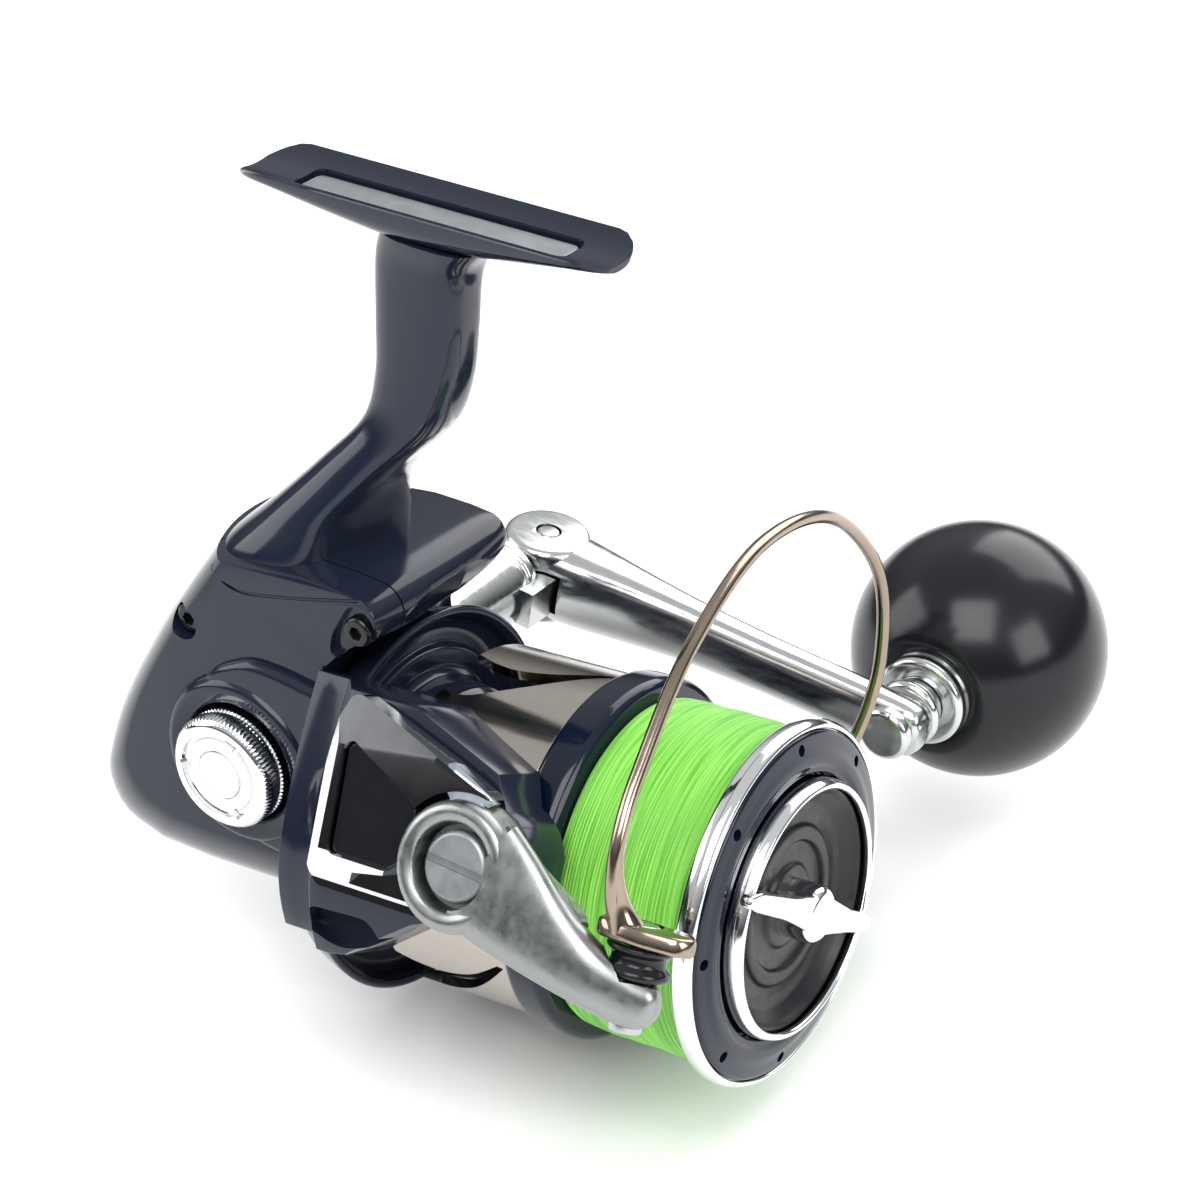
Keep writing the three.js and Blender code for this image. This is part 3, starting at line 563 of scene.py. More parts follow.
def shrink_at(y):
    """How much smaller the housing's outline is at this distance from the middle plane."""
    beyond = max(0.0, abs(y) - (BODY_HALF - EDGE_WIDTH)) / EDGE_WIDTH
    return 1 - SIDE_TAPER * (y / 16) ** 2 - EDGE_TAPER * (1 - math.sqrt(max(0.0, 1 - beyond * beyond)))


def housing_slab(name, outline, low, high):
    """A slab of the housing that gets smaller towards the sides, about its upper front corner."""
    cx, cz = TAPER_CORNER
    levels = 28
    rings = []
    for k in range(levels + 1):
        t = k / levels
        ease = math.sin(math.pi / 2 * t) if abs(high) > abs(low) else 1 - math.cos(math.pi / 2 * t)
        y = low + (high - low) * ease
        factor = shrink_at(y)
        rings.append([(cx + (x - cx) * factor, y, cz + (z - cz) * factor) for x, z in outline])
    return loft(name, rings, REEL, "navy_paint", 40)


def rotor_room(extra=0.7):
    """The space that the rotor sweeps, to be cut from the housing."""
    profile = [(-66.8 - extra, 0), (-66.8 - extra, 25.2 + extra), (-64.6 - extra, 27.7 + extra),
               (-60, 28.9 + extra), (-56, 32.6 + extra), (-54 - extra, 36 + extra), (-50, 46), (-50, 0)]
    return turned("cutter", profile, "X", REEL, "steel", 96)


def build_frame():
    shell = housing_slab("frame_casting", HOUSING, SEAM, BODY_HALF)
    carve(shell, [rotor_room(), turned("cutter", rod(13.6, 19.2, 7.3), "Y", CAP, "steel", 40)], sharp=40)
    profile = rounded([(10, 5.3), (10, 13.2), (15.4, 13), (17.6, 12.2), (18.6, 11.4), (18.6, 5.3)], 0.8,
            closed=True)
    boss = turned("handle_boss", profile, "Y", CAP, "navy_paint", 72)
    profile = [(-70.5, 13), (-70.5, 15.2), (-58, 15.2), (-57, 14.2), (-57, 13)]
    nose = turned("nose_ring", rounded(profile, 0.4, closed=True), "X", REEL, "navy_paint", 96)
    foot = build_foot()
    stem = build_stem()
    carve(stem, [rotor_room()], sharp=60)
    belongs(shell, "housing", "body_frame")
    for extra in (boss, nose, foot, stem):
        belongs(extra, "housing", slot="navy_paint")


FAIRING = [(-90.8, 9), (-90.4, 14), (-88.2, 19.6), (-84.4, 23.6), (-78.4, 26.1), (-72.6, 25.7), (-66.4,
        24.4),
           (-60, 24.2),
           (-60, -4), (-72, -5.6), (-80, -4.4), (-87, -0.4)]
TEARDROP = [(-59.6, 39), (-56.2, 37.8), (-55.2, 35.2), (-56, 33), (-60, 30.4), (-63.8, 30), (-63.2, 33.4)]


def cap_seat():
    """The round hole that the screw cap sits in, to be cut from the cover."""
    return turned("cutter", rod(-20, -14.4, 9.35), "Y", CAP, "steel", 72)


def build_cover():
    cover = housing_slab("cover_casting", HOUSING, -BODY_HALF, SEAM - 0.3)
    fairing = pillow("cover_fairing", rounded(FAIRING, 3.5, 6, closed=True), -17.6, -12, 1.5, 0.2, REEL,
            "navy_paint", 50)
    profile = [(-12, 9.3), (-12, 13.6), (-17, 13.3), (-18.2, 12.4), (-18.4, 11.6), (-18, 9.3)]
    boss = turned("cover_boss", rounded(profile, 0.7, closed=True), "Y", CAP, "navy_paint", 96)
    carve(fairing, [rotor_room(), cap_seat()], sharp=42)
    recess = prism("cutter", rounded(TEARDROP, 1.6, 5, closed=True), "Y", -20, -14.7, REEL, "steel")
    oval = turned("cutter", rod(-20, -8, 2.6), "Y", REEL, "steel", 40, at=(SCREWS[1][0], 0, SCREWS[1][1]))
    groove = sweep("cutter", through([(-86.2, -14.6, 41.2), (-84.6, -15.2, 39.2), (-82.2, -15.6, 37.2),
            (-78, -15.9, 36.3),
            (-70, -16, 37.4), (-62, -16, 39), (-57, -15.9, 40)], 40),
                   lambda t: 0.32, REEL, "steel", 8)
    carve(cover, [rotor_room(), cap_seat(), recess, oval, groove], sharp=42)
    belongs(cover, "housing", "side_cover")
    for extra in (fairing, boss):
        belongs(extra, "housing", slot="navy_paint")


SCREWS = [(-58.9, 34.6), (-90.5, 28.5)]


def build_screws():
    for place, (x, z), face in (("front", SCREWS[0], -15.9), ("rear", SCREWS[1], -14.4)):
        profile = rounded([(face, 0), (face, 1.9), (face + 0.4, 2.3), (face + 2, 2.3), (face + 2, 0)], 0.3)
        screw = turned(f"cover_screw_head_{place}", profile, "Y", REEL, "black_plastic", 40, at=(x, 0, z))
        hexagon = arc(x, z, 1.1, 0, 300, 5)
        carve(screw, [prism("cutter", hexagon, "Y", face - 1, face + 0.9, REEL, "steel")])
        belongs(screw, "housing", f"cover_screw_{place}", slot="black_plastic")


def build_guard():
    """Bright strip on the rear edge of the housing, widest halfway down."""
    cx, cz = TAPER_CORNER
    spine = through([(-100, 26.2), (-107, 16), (-113, 6), (-117, -3)], 28)
    rings = []
    last = len(spine) - 1
    for i, (x, z) in enumerate(spine):
        before = Vector(spine[max(i - 1, 0)])
        along = (Vector(spine[min(i + 1, last)]) - before).normalized()
        out = Vector((along.y, -along.x))
        wide = 8.2 + 2.8 * math.sin(math.pi * i / last)
        rise = 1.1 * min(1.0, 5 * min(i, last - i) / last) + 0.1
        section = []
        for share, lift in ((-1, -1.2), (-1, 0.2), (-0.9, 0.8), (-0.5, 1), (0, 1), (0.5, 1), (0.9, 0.8),
                (1, 0.2),
                (1, -1.2), (0, -1.2)):
            y = wide * share
            factor = shrink_at(y)
            spot = Vector((cx + (x - cx) * factor,
                           cz + (z - cz) * factor)) + out * (lift * rise if lift > 0 else lift)
            section.append((spot.x, y, spot.y))
        rings.append(section)
    guard = loft("guard_strip", rings, REEL, "polished_silver", 40)
    return belongs(guard, "housing", "rear_guard")


def build_plate():
    outline = rounded([(-20.3, -2.6), (21.8, -2.6), (21.8, 2.6), (-20.3, 2.6)], 1.2, 5, closed=True)
    plate = prism("name_plate", outline, "Z", -1.0, -0.35, FOOT, "plate_grey")
    soften(plate, 0.12, 2)
    return belongs(plate, "housing", "foot_plate")


def build_cap():
    """Knurled cap: two fine knurled bands round a bright face with rings and notches."""
    teeth = 80

    profile = [(-15.7, 5), (-15.7, 7.9), (-16.4, 8.3), (-16.6, 8.8), (-18.5, 8.8), (-18.7, 8.35), (-19.1,
            8.35),
               (-19.3, 8.8), (-21.2, 8.8), (-21.6, 8.5), (-22.1, 8), (-22.3, 7.5), (-22.3, 6.7), (-21.7,
            6.5),
               (-21.7, 5.9), (-22.1, 5.7), (-22.1, 3.9), (-21.8, 3.75), (-22.2, 3.6), (-22.2, 0), (-17,
            0),
               (-17, 5)]
    knurled = {3, 4, 7, 8}

    def knurl(i, along, radius, angle):
        return radius - (0.32 * (0.5 - 0.5 * math.cos(teeth * angle)) if i in knurled else 0)

    cap = turned("cap_body", profile, "Y", CAP, "polished_silver", teeth * 4, radius_at=knurl, sharp=30)
    notches = []
    for k in range(3):
        turn = Matrix.Rotation(math.radians(120 * k + 65), 4, "Y")
        notches.append(box_cutter(5.4, 7.0, -23, -21.6, -0.3, 0.3, CAP @ turn))
    carve(cap, notches, sharp=30)
    return belongs(cap, "housing", "screw_cap")


# ---- rotor and its covers ----------------------------------------------------------------


def arm_ring(x):
    """One section across a rotor arm at x, as (y, z) on the line-roller side."""
    high = min(17.6, 9.3 + (-20 - x) * 0.36) if x < -22 else math.sqrt(max(0.5,
            9.5 ** 2 - (x - PIVOT_X) ** 2))
    if x < -50:
        low = -19
    elif x < -35:
        low = -19 + (x + 50) / 15 * 9.6
    else:
        low = -math.sqrt(max(0.5, 9.5 ** 2 - max(0, x - PIVOT_X) ** 2))
    if x > PIVOT_X:
        high = min(high, math.sqrt(max(0.4, 8.4 ** 2 - (x - PIVOT_X) ** 2)))
        low = max(low, -high)
    reach = 28.4 + (x + 60) * 1.35 if x < -54 else 36.5
    outer = min(36.5, max(28.4, reach))
    points = []
    steps = 16
    for k in range(steps + 1):
        h = low + (high - low) * k / steps
        bulge = math.sqrt(max(0, 39 ** 2 - h * h)) - 39
        droop = 0.022 * max(0, -6 - h) ** 2
        points.append((-(min(outer, outer + bulge * 0.35) - droop), h))
    for k in range(steps + 1):
        h = high + (low - high) * k / steps
        inside = math.sqrt(max(100, 28.3 ** 2 - h * h))
        points.append((-inside, h))
    return [(x, y, z) for y, z in points]


def build_arm(matrix, name):
    stations = [-65.5, -63, -60, -57.5, -55.5, -54, -52, -49, -46, -43, -40, -37, -34, -31, -28, -25.6,
                -23.4,
                -21.8, -20.6, -20]
    arm = loft(name, [arm_ring(x) for x in stations], matrix, "navy_paint", 50)
    return soften(arm, 0.9, 3, 40)


def build_rotor():
    profile = [(-66.5, 15.9), (-66.5, 24.8), (-66, 26), (-64.5, 27.5), (-61.5, 28.5), (-60.3, 28.8),
               (-59.9, 28.4),
               (-59.9, 27.6), (-60.6, 27), (-62.2, 26.4), (-62.8, 25), (-62.8, 22.8), (-61.6, 22.2),
               (-61.6, 19.4),
               (-60.8, 18.2), (-55, 17.8), (-53.2, 16.6), (-53, 12), (-54, 11.4), (-54, 8.4), (-53, 8),
               (-53, 3.4),
               (-56, 3.4), (-56, 15.9)]
    bowl = turned("rotor_bowl", rounded(profile, 0.45, 3, closed=True), "X", ROTOR, "navy_paint", 128)
    near = build_arm(ROTOR, "near_arm")
    far = build_arm(FAR_ARM, "far_arm")
    clear = turned("cutter", [(-59.7, 0), (-59.7, 27.7), (-10, 27.7), (-10, 0)], "X", ROTOR, "steel", 128)
    carve(near, [far], "UNION", 40)
    carve(near, [clear], sharp=40)
    carve(bowl, [near], "UNION", 40)
    window = rounded([(-50, -17.6), (-41.5, -15.6), (-44, -12), (-54, -12.5), (-56, -15.5)], 1.8, 5,
            closed=True)
    carve(bowl, [prism("cutter", window, "Y", -40, -29.8, ROTOR, "steel")], sharp=40)
    return belongs(bowl, "rotor", "rotor")


COVER = [(-52.2, -7.2), (-51, -8.6), (-36, -8.6), (-28, -8.6), (-22, 4), (-25.4, 9.6), (-33.4, 12.8),
         (-48.8, 18), (-50.2, 17.6),
         (-52.6, 8)]
PANEL = [(-48.2, -3.5), (-38.6, -3.5), (-36.9, -2.2), (-35.3, 3.6), (-36.2, 6.6), (-47.4, 12.2), (-48.6,
        11.2)]
SWING_ROOM = [(-47, -10), (-44.5, -5.2), (-39.2, -4.2), (-36.4, 1), (-26, 1), (-26, -10)]


def cover_plate(name, matrix, material):
    plate = prism(name, rounded(COVER, 1.0, 3, closed=True), "Y", -42, -36.8, matrix, material)
    slope = prism("cutter", [(-60, -46), (-60, -39.2), (-52.8, -39.4), (-49.6, -42), (-40, -42.2), (-24,
            -41.2),
            (-18, -41.2), (-18, -46)], "Z", -30, 30, matrix, "steel")
    lower = prism("cutter", [(-46, -2.9), (-42.1, -2.9), (-38.8, -7.6), (-38.8, -14), (-46, -14)], "X",
                  -60, -10, matrix,
                  "steel")
    upper = prism("cutter", [(-46, 11), (-42.1, 11), (-39.4, 19), (-39.4, 26), (-46, 26)], "X", -60,
                  -34.2, matrix,
                  "steel")
    hub = turned("cutter", rod(-60, -20, 9.75), "Y", matrix, "steel", 96, at=(PIVOT_X, 0, 0))
    swing = prism("cutter", SWING_ROOM, "Y", -46, -39.2, matrix, "steel")
    return carve(plate, [slope, lower, upper, hub, swing], sharp=25)


def build_covers():
    near = cover_plate("cover_frame", ROTOR, "polished_silver")
    window = prism("cutter", rounded(PANEL, 1.5, 5, closed=True), "Y", -44, -40.2, ROTOR, "steel")
    carve(near, [window], sharp=25)
    soften(near, 0.35, 2, 28)
    near.data.materials[0] = MATERIALS["gunmetal"]
    near.data.materials.append(MATERIALS["polished_silver"])
    across = ROTOR.to_3x3().normalized() @ Vector((0, -1, 0))
    for face in near.data.polygons:
        face.material_index = 1 if face.normal.dot(across) < 0.93 else 0
    belongs(near, "rotor", "arm_cover_frame")
    outline = inset(rounded(PANEL, 1.5, 5, closed=True), 0.25)
    panel = prism("cover_panel", outline, "Y", -41.2, -40.1, ROTOR, "black_plastic")
    soften(panel, 0.35, 3, 28)
    belongs(panel, "rotor", "arm_cover_panel")
    facet = loft("cover_facet", [
        [(-34.6, -40.9, 11.8), (-31.6, -40.9, 13), (-24.6, -40.2, 9.2), (-26.2, -41.0, 8.0), (-30.4,
            -41.5, 7.6)],
        [(-34.2, -38.6, 11.6), (-31.6, -38.6, 12.6), (-25, -38.6, 9), (-26.4, -38.6, 8.0), (-30.4, -38.6,
            7.8)],
    ], ROTOR, "ice_silver", 10)
    belongs(facet, "rotor", slot="polished_silver")
    far = cover_plate("far_cover", FAR_ARM, "navy_paint")
    soften(far, 0.6, 3, 28)
    belongs(far, "rotor", "arm_cover_far")


def build_nut():
    nut = prism("rotor_hex_nut", arc(0, 0, 6.4, 0, 300, 5), "X", -52.7, -50, ROTOR, "steel")
    carve(nut, [turned("cutter", rod(-60, -40, 3.3), "X", ROTOR, "steel", 48)])
    soften(nut, 0.4, 2)
    return belongs(nut, "rotor", "rotor_nut")


# ---- bail --------------------------------------------------------------------------------


def build_bail_arm():
    """Round hub, a sweeping arm with a ridge, a thin fin and a rounded tip at the roller."""
    profile = [(-36.9, 3), (-36.9, 8.6), (-38, 8.8), (-42.2, 8.8), (-43.3, 8.2), (-43.6, 7.2), (-43.2, 6),
               (-40.4, 5.5), (-40.4, 3)]
    hub = turned("bail_arm_body", rounded(profile, 0.4, 3, closed=True), "Y", ROTOR, "satin_silver", 96,
                 at=(PIVOT_X, 0, 0))
    spine = through([(-24, -41.7, 0.2), (-19.5, -41.9, -2.2), (-13, -41.8, -5.4), (-6.5, -40.8, -8.2),
            (-1.5, -38.8, -10), (2.8, -36.6, -11)], 36)
    widths = through([(8.2, 1.8), (7.4, 1.9), (5.6, 2.3), (4.2, 2.8), (3.6, 2.8), (3.0, 2.6)], 36)
    rings = []
    last = len(spine) - 1
    for i, (point, (width, thick)) in enumerate(zip(spine, widths)):
        ahead = (Vector(spine[min(i + 1, last)]) - Vector(spine[max(i - 1, 0)])).normalized()
        out = Vector((0, -1, 0))
        out = (out - ahead * out.dot(ahead)).normalized()
        rise = ahead.cross(out)
        if rise.z < 0:
            rise = -rise
        tip = 1.0 if i < last - 4 else math.sqrt(max(0.05, 1 - ((i - last + 4) / 4.15) ** 2))
        section = []
        for k in range(24):
            angle = 2 * math.pi * k / 24
            c, s = math.cos(angle), math.sin(angle)
            a = math.copysign(abs(c) ** 0.7, c) * width * tip
            b = math.copysign(abs(s) ** 0.8, s) * thick * tip
            section.append(tuple(Vector(point) + rise * a + out * b))
        rings.append(section)
    arm = loft("arm_bar", rings, ROTOR, "satin_silver", 60)
    outline = [(-22, 7.4), (-16.6, 3.4), (-9.0, -0.9), (-8.0, -2.2), (-8.0, -6.6), (-14, -6), (-22, 0)]
    fin = prism("fin", rounded(outline, 1.0, 4, closed=True), "Y", -41.6, -39.8, ROTOR, "satin_silver")
    cuts = [
        turned("cutter", rod(-46, -40.4, 5.5), "Y", ROTOR, "steel", 72, at=(PIVOT_X, 0, 0)),
        turned("cutter", rod(-46, -30, 2.6), "Y", ROTOR, "steel", 40, at=(PIVOT_X, 0, 0)),
        turned("cutter", rod(-7.7, 6, 4.7), "Z", ROTOR, "steel", 64, at=(ROLLER_X, ROLLER_Y, 0)),
        turned("cutter", rod(-30, 0, 1.5), "Z", ROTOR, "steel", 32, at=(ROLLER_X, ROLLER_Y, 0)),
        turned("cutter", rod(-30, -12.4, 2.7), "Z", ROTOR, "steel", 40, at=(ROLLER_X, ROLLER_Y, 0)),
    ]
    carve(hub, cuts[:2], sharp=38)
    carve(arm, cuts[2:], sharp=60)
    carve(arm, [turned("cutter", rod(-46, -30, 5.6), "Y", ROTOR, "steel", 72, at=(PIVOT_X, 0, 0))], sharp=60)
    for extra in (arm, fin):
        belongs(extra, "bail", slot="satin_silver")
    return belongs(hub, "bail", "bail_arm")


def build_pivot_screws():
    for matrix, name, node in ((ROTOR, "near_pivot_screw", "bail_arm_screw"), (FAR_ARM,
            "far_pivot_screw",
            "bail_lever_screw")):
        profile = rounded([(-42.2, 0), (-42.2, 4.3), (-41.8, 4.8), (-40.7, 4.8), (-40.7, 2.3), (-29.6,
                2.3),
                (-29.6, 0)], 0.3)
        screw = turned(name, profile, "Y", matrix, "plate_grey", 64, at=(PIVOT_X, 0, 0))
        turn = matrix @ Matrix.Translation((PIVOT_X, 0, 0)) @ Matrix.Rotation(math.radians(6), 4, "Y")
        carve(screw, [box_cutter(-6, 6, -44, -41.5, -0.55, 0.55, turn)])
        belongs(screw, "rotor", node)


def build_lever():
    profile = [(36.9, 3), (36.9, 8.6), (38, 8.8), (42.2, 8.8), (43.3, 8.2), (43.6, 7.2), (43.2, 6),
               (40.4, 5.5), (40.4, 3)]
    hub = turned("bail_lever_body", rounded(profile, 0.4, 3, closed=True), "Y", ROTOR, "satin_silver", 96,
                 at=(PIVOT_X, 0, 0))
    outline = [(-33.6, 4), (-25, -4), (-18.2, 5.6), (-17.6, 8.4), (-20.4, 10.2), (-24, 8.6)]
    finger = pillow("finger", rounded(outline, 2.0, 4, closed=True), 38.4, 43.4, 1.2, 1.2, ROTOR,
                    "satin_silver")
    belongs(finger, "bail", slot="satin_silver")
    cuts = [
        turned("cutter", rod(40.4, 46, 5.5), "Y", ROTOR, "steel", 72, at=(PIVOT_X, 0, 0)),
        turned("cutter", rod(30, 46, 2.6), "Y", ROTOR, "steel", 40, at=(PIVOT_X, 0, 0)),
    ]
    carve(hub, cuts, sharp=38)
    return belongs(hub, "bail", "bail_lever")


WIRE = [(-3.4, -38.6, -2.0), (-4.3, -40.8, 0.4), (-4.5, -42.4, 4.8), (-4.7, -42.6, 11), (-5.5, -39.5, 18.5),
        (-7.5, -29.3, 33.9), (-9.5, -12.4, 47.7), (-11, 9.4, 52.4), (-12.2, 30.6, 45.4), (-13.4, 40.3, 32),
        (-15.5, 41.8, 19.5), (-19.2, 41, 9.4)]


def build_wire():
    wire = sweep("bail_wire_bar", through(WIRE, 150), lambda t: WIRE_R, ROTOR, "bronze_wire", 20)
    return belongs(wire, "bail", "bail_wire")


def build_wire_cap():
    """Bracket that the wire ends in: a plate over the roller, with a boot rising to the wire."""
    outline = [(-7.0, -40.6), (-1, -41.4), (5.2, -40.2), (6.6, -37.6), (4.6, -34.6), (-3.4, -34.2),
               (-7.0, -36.4)]
    cap = prism("wire_bracket", rounded(outline, 2.0, 6, closed=True), "Z", -3.1, -0.6, ROTOR, "bronze_wire")
    soften(cap, 0.6, 3)
    carve(cap, [turned("cutter", rod(-6, 5, 2.4), "Z", ROTOR, "steel", 40, at=(ROLLER_X, ROLLER_Y, 0))])
    spine = through([(-3.4, -38.8, -1.6), (-4.2, -40.4, 1.6), (-4.5, -42.2, 5.6), (-4.7, -42.6, 10)], 24)
    boot = sweep("wire_boot", spine, lambda t: WIRE_R + 1.5 * (1 - t) ** 2.2, ROTOR, "bronze_wire", 24)
    belongs(boot, "bail", slot="bronze_wire")
    return belongs(cap, "bail", "wire_cap")


def build_roller():
    profile = [(-7.4, 2.9), (-7.4, 4.2), (-6.9, 4.5), (-6.4, 4.4), (-5.7, 3.7), (-5.1, 3.6), (-4.5, 3.7),
               (-3.9, 4.4),
               (-3.5, 4.5), (-3.3, 4.2), (-3.3, 2.9)]
    roller = turned("line_roller_body", rounded(profile, 0.2, 3, closed=True), "Z", ROTOR,
                    "black_plastic", 72,
                    at=(ROLLER_X, ROLLER_Y, 0))
    belongs(roller, "line_roller", "line_roller")
    profile = [(-14.6, 0), (-14.6, 2.2), (-12.8, 2.4), (-12.8, 1.3), (-2.8, 1.3), (-2.8, 2.2), (-0.9,
            2.1),
               (-0.6, 1.6), (-0.6, 0)]
    screw = turned("roller_axle", rounded(profile, 0.2, 3), "Z", ROTOR, "steel", 48, at=(ROLLER_X,
            ROLLER_Y, 0))
    belongs(screw, "bail", "roller_screw")


# ---- spool -------------------------------------------------------------------------------


def crescents():
    """Openings of the skirt: curved blades, six round the spool, widest at the rear edge."""
    upper = through([(-56, -7.4), (-50, -7.4), (-46.5, -7), (-40, -2.5), (-35.4, 2), (-31.4, 6.6)], 20)
    lower = through([(-32.4, 6.8), (-38, 2.6), (-43.5, 0.6), (-48, 0.9), (-52, 2.4), (-56, 3.6)], 20)
    cutters = []
    for k in range(6):
        rings = []
        for radius in (19, 22, 25, 28):
            one = []
            for x, across in upper + lower:
                angle = across / SKIRT_R + 2 * math.pi * k / 6
                one.append((x, radius * math.sin(angle), radius * math.cos(angle)))
            rings.append(one)
        cutters.append(loft("cutter", rings, REEL, "steel"))
    return cutters


def build_spool():
    profile = [(-51.8, 23.6), (-51.8, 24.6), (-51.2, 25), (-30.8, 25), (-30.3, 24.6), (-30.3, 22), (-31,
            22),
               (-31, 23.6)]
    skirt = turned("spool_skirt", profile, "X", REEL, "champagne_silver", 192)
    carve(skirt, crescents(), sharp=32)
    soften(skirt, 0.22, 2, 45)
    belongs(skirt, "spool", slot="champagne_silver")
    profile = [(-30.2, 16.3), (-30.2, 25.2), (-29.9, 26.1), (-29.2, 26.3), (-25.6, 26.3), (-24.8, 26),
               (-24.2, 25.2),
               (-24.2, 16), (-3.4, 16), (-3.4, 24.5), (-2.6, 24.5), (-2.6, 18.6), (-3, 18.2), (-3, 14.2),
               (-18, 14.2),
               (-18, 4.2), (-20, 4.2), (-20, 14.2), (-27, 14.2)]
    drum = turned("spool_drum", rounded(profile, 0.25, 2, closed=True), "X", REEL, "navy_flange", 144)
    belongs(drum, "spool", "spool", slot="navy_paint")


def build_line():
    """The wound line: fine strands on a slight slant, with a soft shoulder at each end."""
    low, high = -24, -3.6
    pitch = 0.46
    count = 260
    profile = [(low, 16.4)]
    for k in range(count + 1):
        x = low + (high - low) * k / count
        t = k / count
        shoulder = 0.7 * math.exp(-t * 26) + 0.5 * math.exp(-(1 - t) * 30)
        profile.append((x, LINE_R - shoulder))
    profile.append((high, 16.4))

    def strands(i, along, radius, angle):
        if i in (0, count + 2):
            return radius
        slant = along / pitch + 3 * angle / (2 * math.pi)
        cross = along / (pitch * 1.9) - 5 * angle / (2 * math.pi)
        ridge = abs(math.sin(math.pi * slant)) * 0.13 + abs(math.sin(math.pi * cross)) * 0.05
        wave = 0.05 * math.sin(along * 1.3 + 2 * angle) + 0.04 * math.sin(5 * angle + along * 0.7)
        return radius + ridge + wave - 0.12

    pack = turned("wound_line", profile, "X", REEL, "lime_line", 220, radius_at=strands, sharp=80)
    return belongs(pack, "spool", "line_pack")


def build_lip():
    profile = [(-3.5, 24.9), (-3.5, 25.4), (-2.9, 25.9), (-1.9, 26.05), (-1.1, 25.9), (-0.5, 25.5),
               (-0.3, 25.1),
               (-0.6, 24.8)]
    lip = turned("lip_ring", rounded(profile, 0.3, 3, closed=True), "X", REEL, "polished_silver", 160)
    belongs(lip, "spool", "spool_lip")
    profile = [(-2.3, 18.9), (-2.3, 24.7), (-0.6, 24.7), (-0.2, 24.3), (0.1, 22.6), (0.45, 21.4), (0.5,
            20.2),
               (0.2, 19.6), (0.2, 18.9)]
    face = turned("face_disc", rounded(profile, 0.3, 3, closed=True), "X", REEL, "navy_flange", 144)
    ports = []
    for k in range(8):
        angle = math.radians(45 * k + 36)
        spot = (0, 22.9 * math.cos(angle), 22.9 * math.sin(angle))
        ports.append(turned("cutter", rod(-0.9, 2, 0.8), "X", REEL, "steel", 24, at=spot))
    carve(face, ports)
    belongs(face, "spool", "face_ring")


def build_drag_knob():
    profile = [(-2.4, 2.6), (-2.4, 17.5), (1.2, 17.5), (1.5, 17.0), (0.6, 16.2), (-0.6, 14.6), (-0.9,
            13.4),
               (-0.9, 11.6),
               (-0.1, 11.2), (-0.1, 9.4), (-0.9, 9), (-0.9, 6.2), (-0.2, 5.6), (-0.2, 2.6)]
    bowl = turned("knob_bowl", rounded(profile, 0.35, 3, closed=True), "X", REEL, "bowl_black", 128)
    belongs(bowl, "drag_knob", "drag_knob_bowl")
    profile = [(-2.2, 17.8), (-2.2, 18.3), (0.6, 18.5), (2, 18.4), (2.8, 18.0), (3.0, 17.5), (2.6, 17.1),
               (1.9, 17.2), (1.7, 17.8)]
    edge = turned("knob_ring", rounded(profile, 0.3, 3, closed=True), "X", REEL, "polished_silver", 144)
    belongs(edge, "drag_knob", "drag_knob_ring")
    turn = REEL @ Matrix.Rotation(math.radians(BAR_TURN), 4, "X")
    half = [(-18.9, -0.5), (-17, -1.1), (-9.6, -1.4), (-5.2, -2.1), (-3, -2.5), (3, -2.6), (5.2, -2.3),
            (9.6, -1.9),
            (17, -1.7), (18.9, -0.8)]
    outline = half + [(-y, -z) for y, z in half]
    bar = prism("knob_bar", rounded(outline, 0.9, 4, closed=True), "X", 1.5, 5.0, turn, "polished_silver")
    crown = prism("cutter", [(-22, 3.0), (-6, 5.2), (6, 5.2), (22, 3.4), (22, 9), (-22, 9)], "Z", -9, 9,
                  turn @ Matrix(((0, 1, 0, 0), (1, 0, 0, 0), (0, 0, 1, 0), (0, 0, 0, 1))), "steel")
    carve(bar, [crown])
    soften(bar, 0.5, 3, 30)
    hub = turned("bar_hub", rounded([(-0.6, 0), (-0.6, 4.2), (4.4, 4.0), (5.2, 3.2), (5.4, 0)], 0.5, 3),
                 "X", turn,
                 "polished_silver", 64)
    belongs(hub, "drag_knob", slot="polished_silver")
    belongs(bar, "drag_knob", "drag_knob_bar")


# ---- handle ------------------------------------------------------------------------------


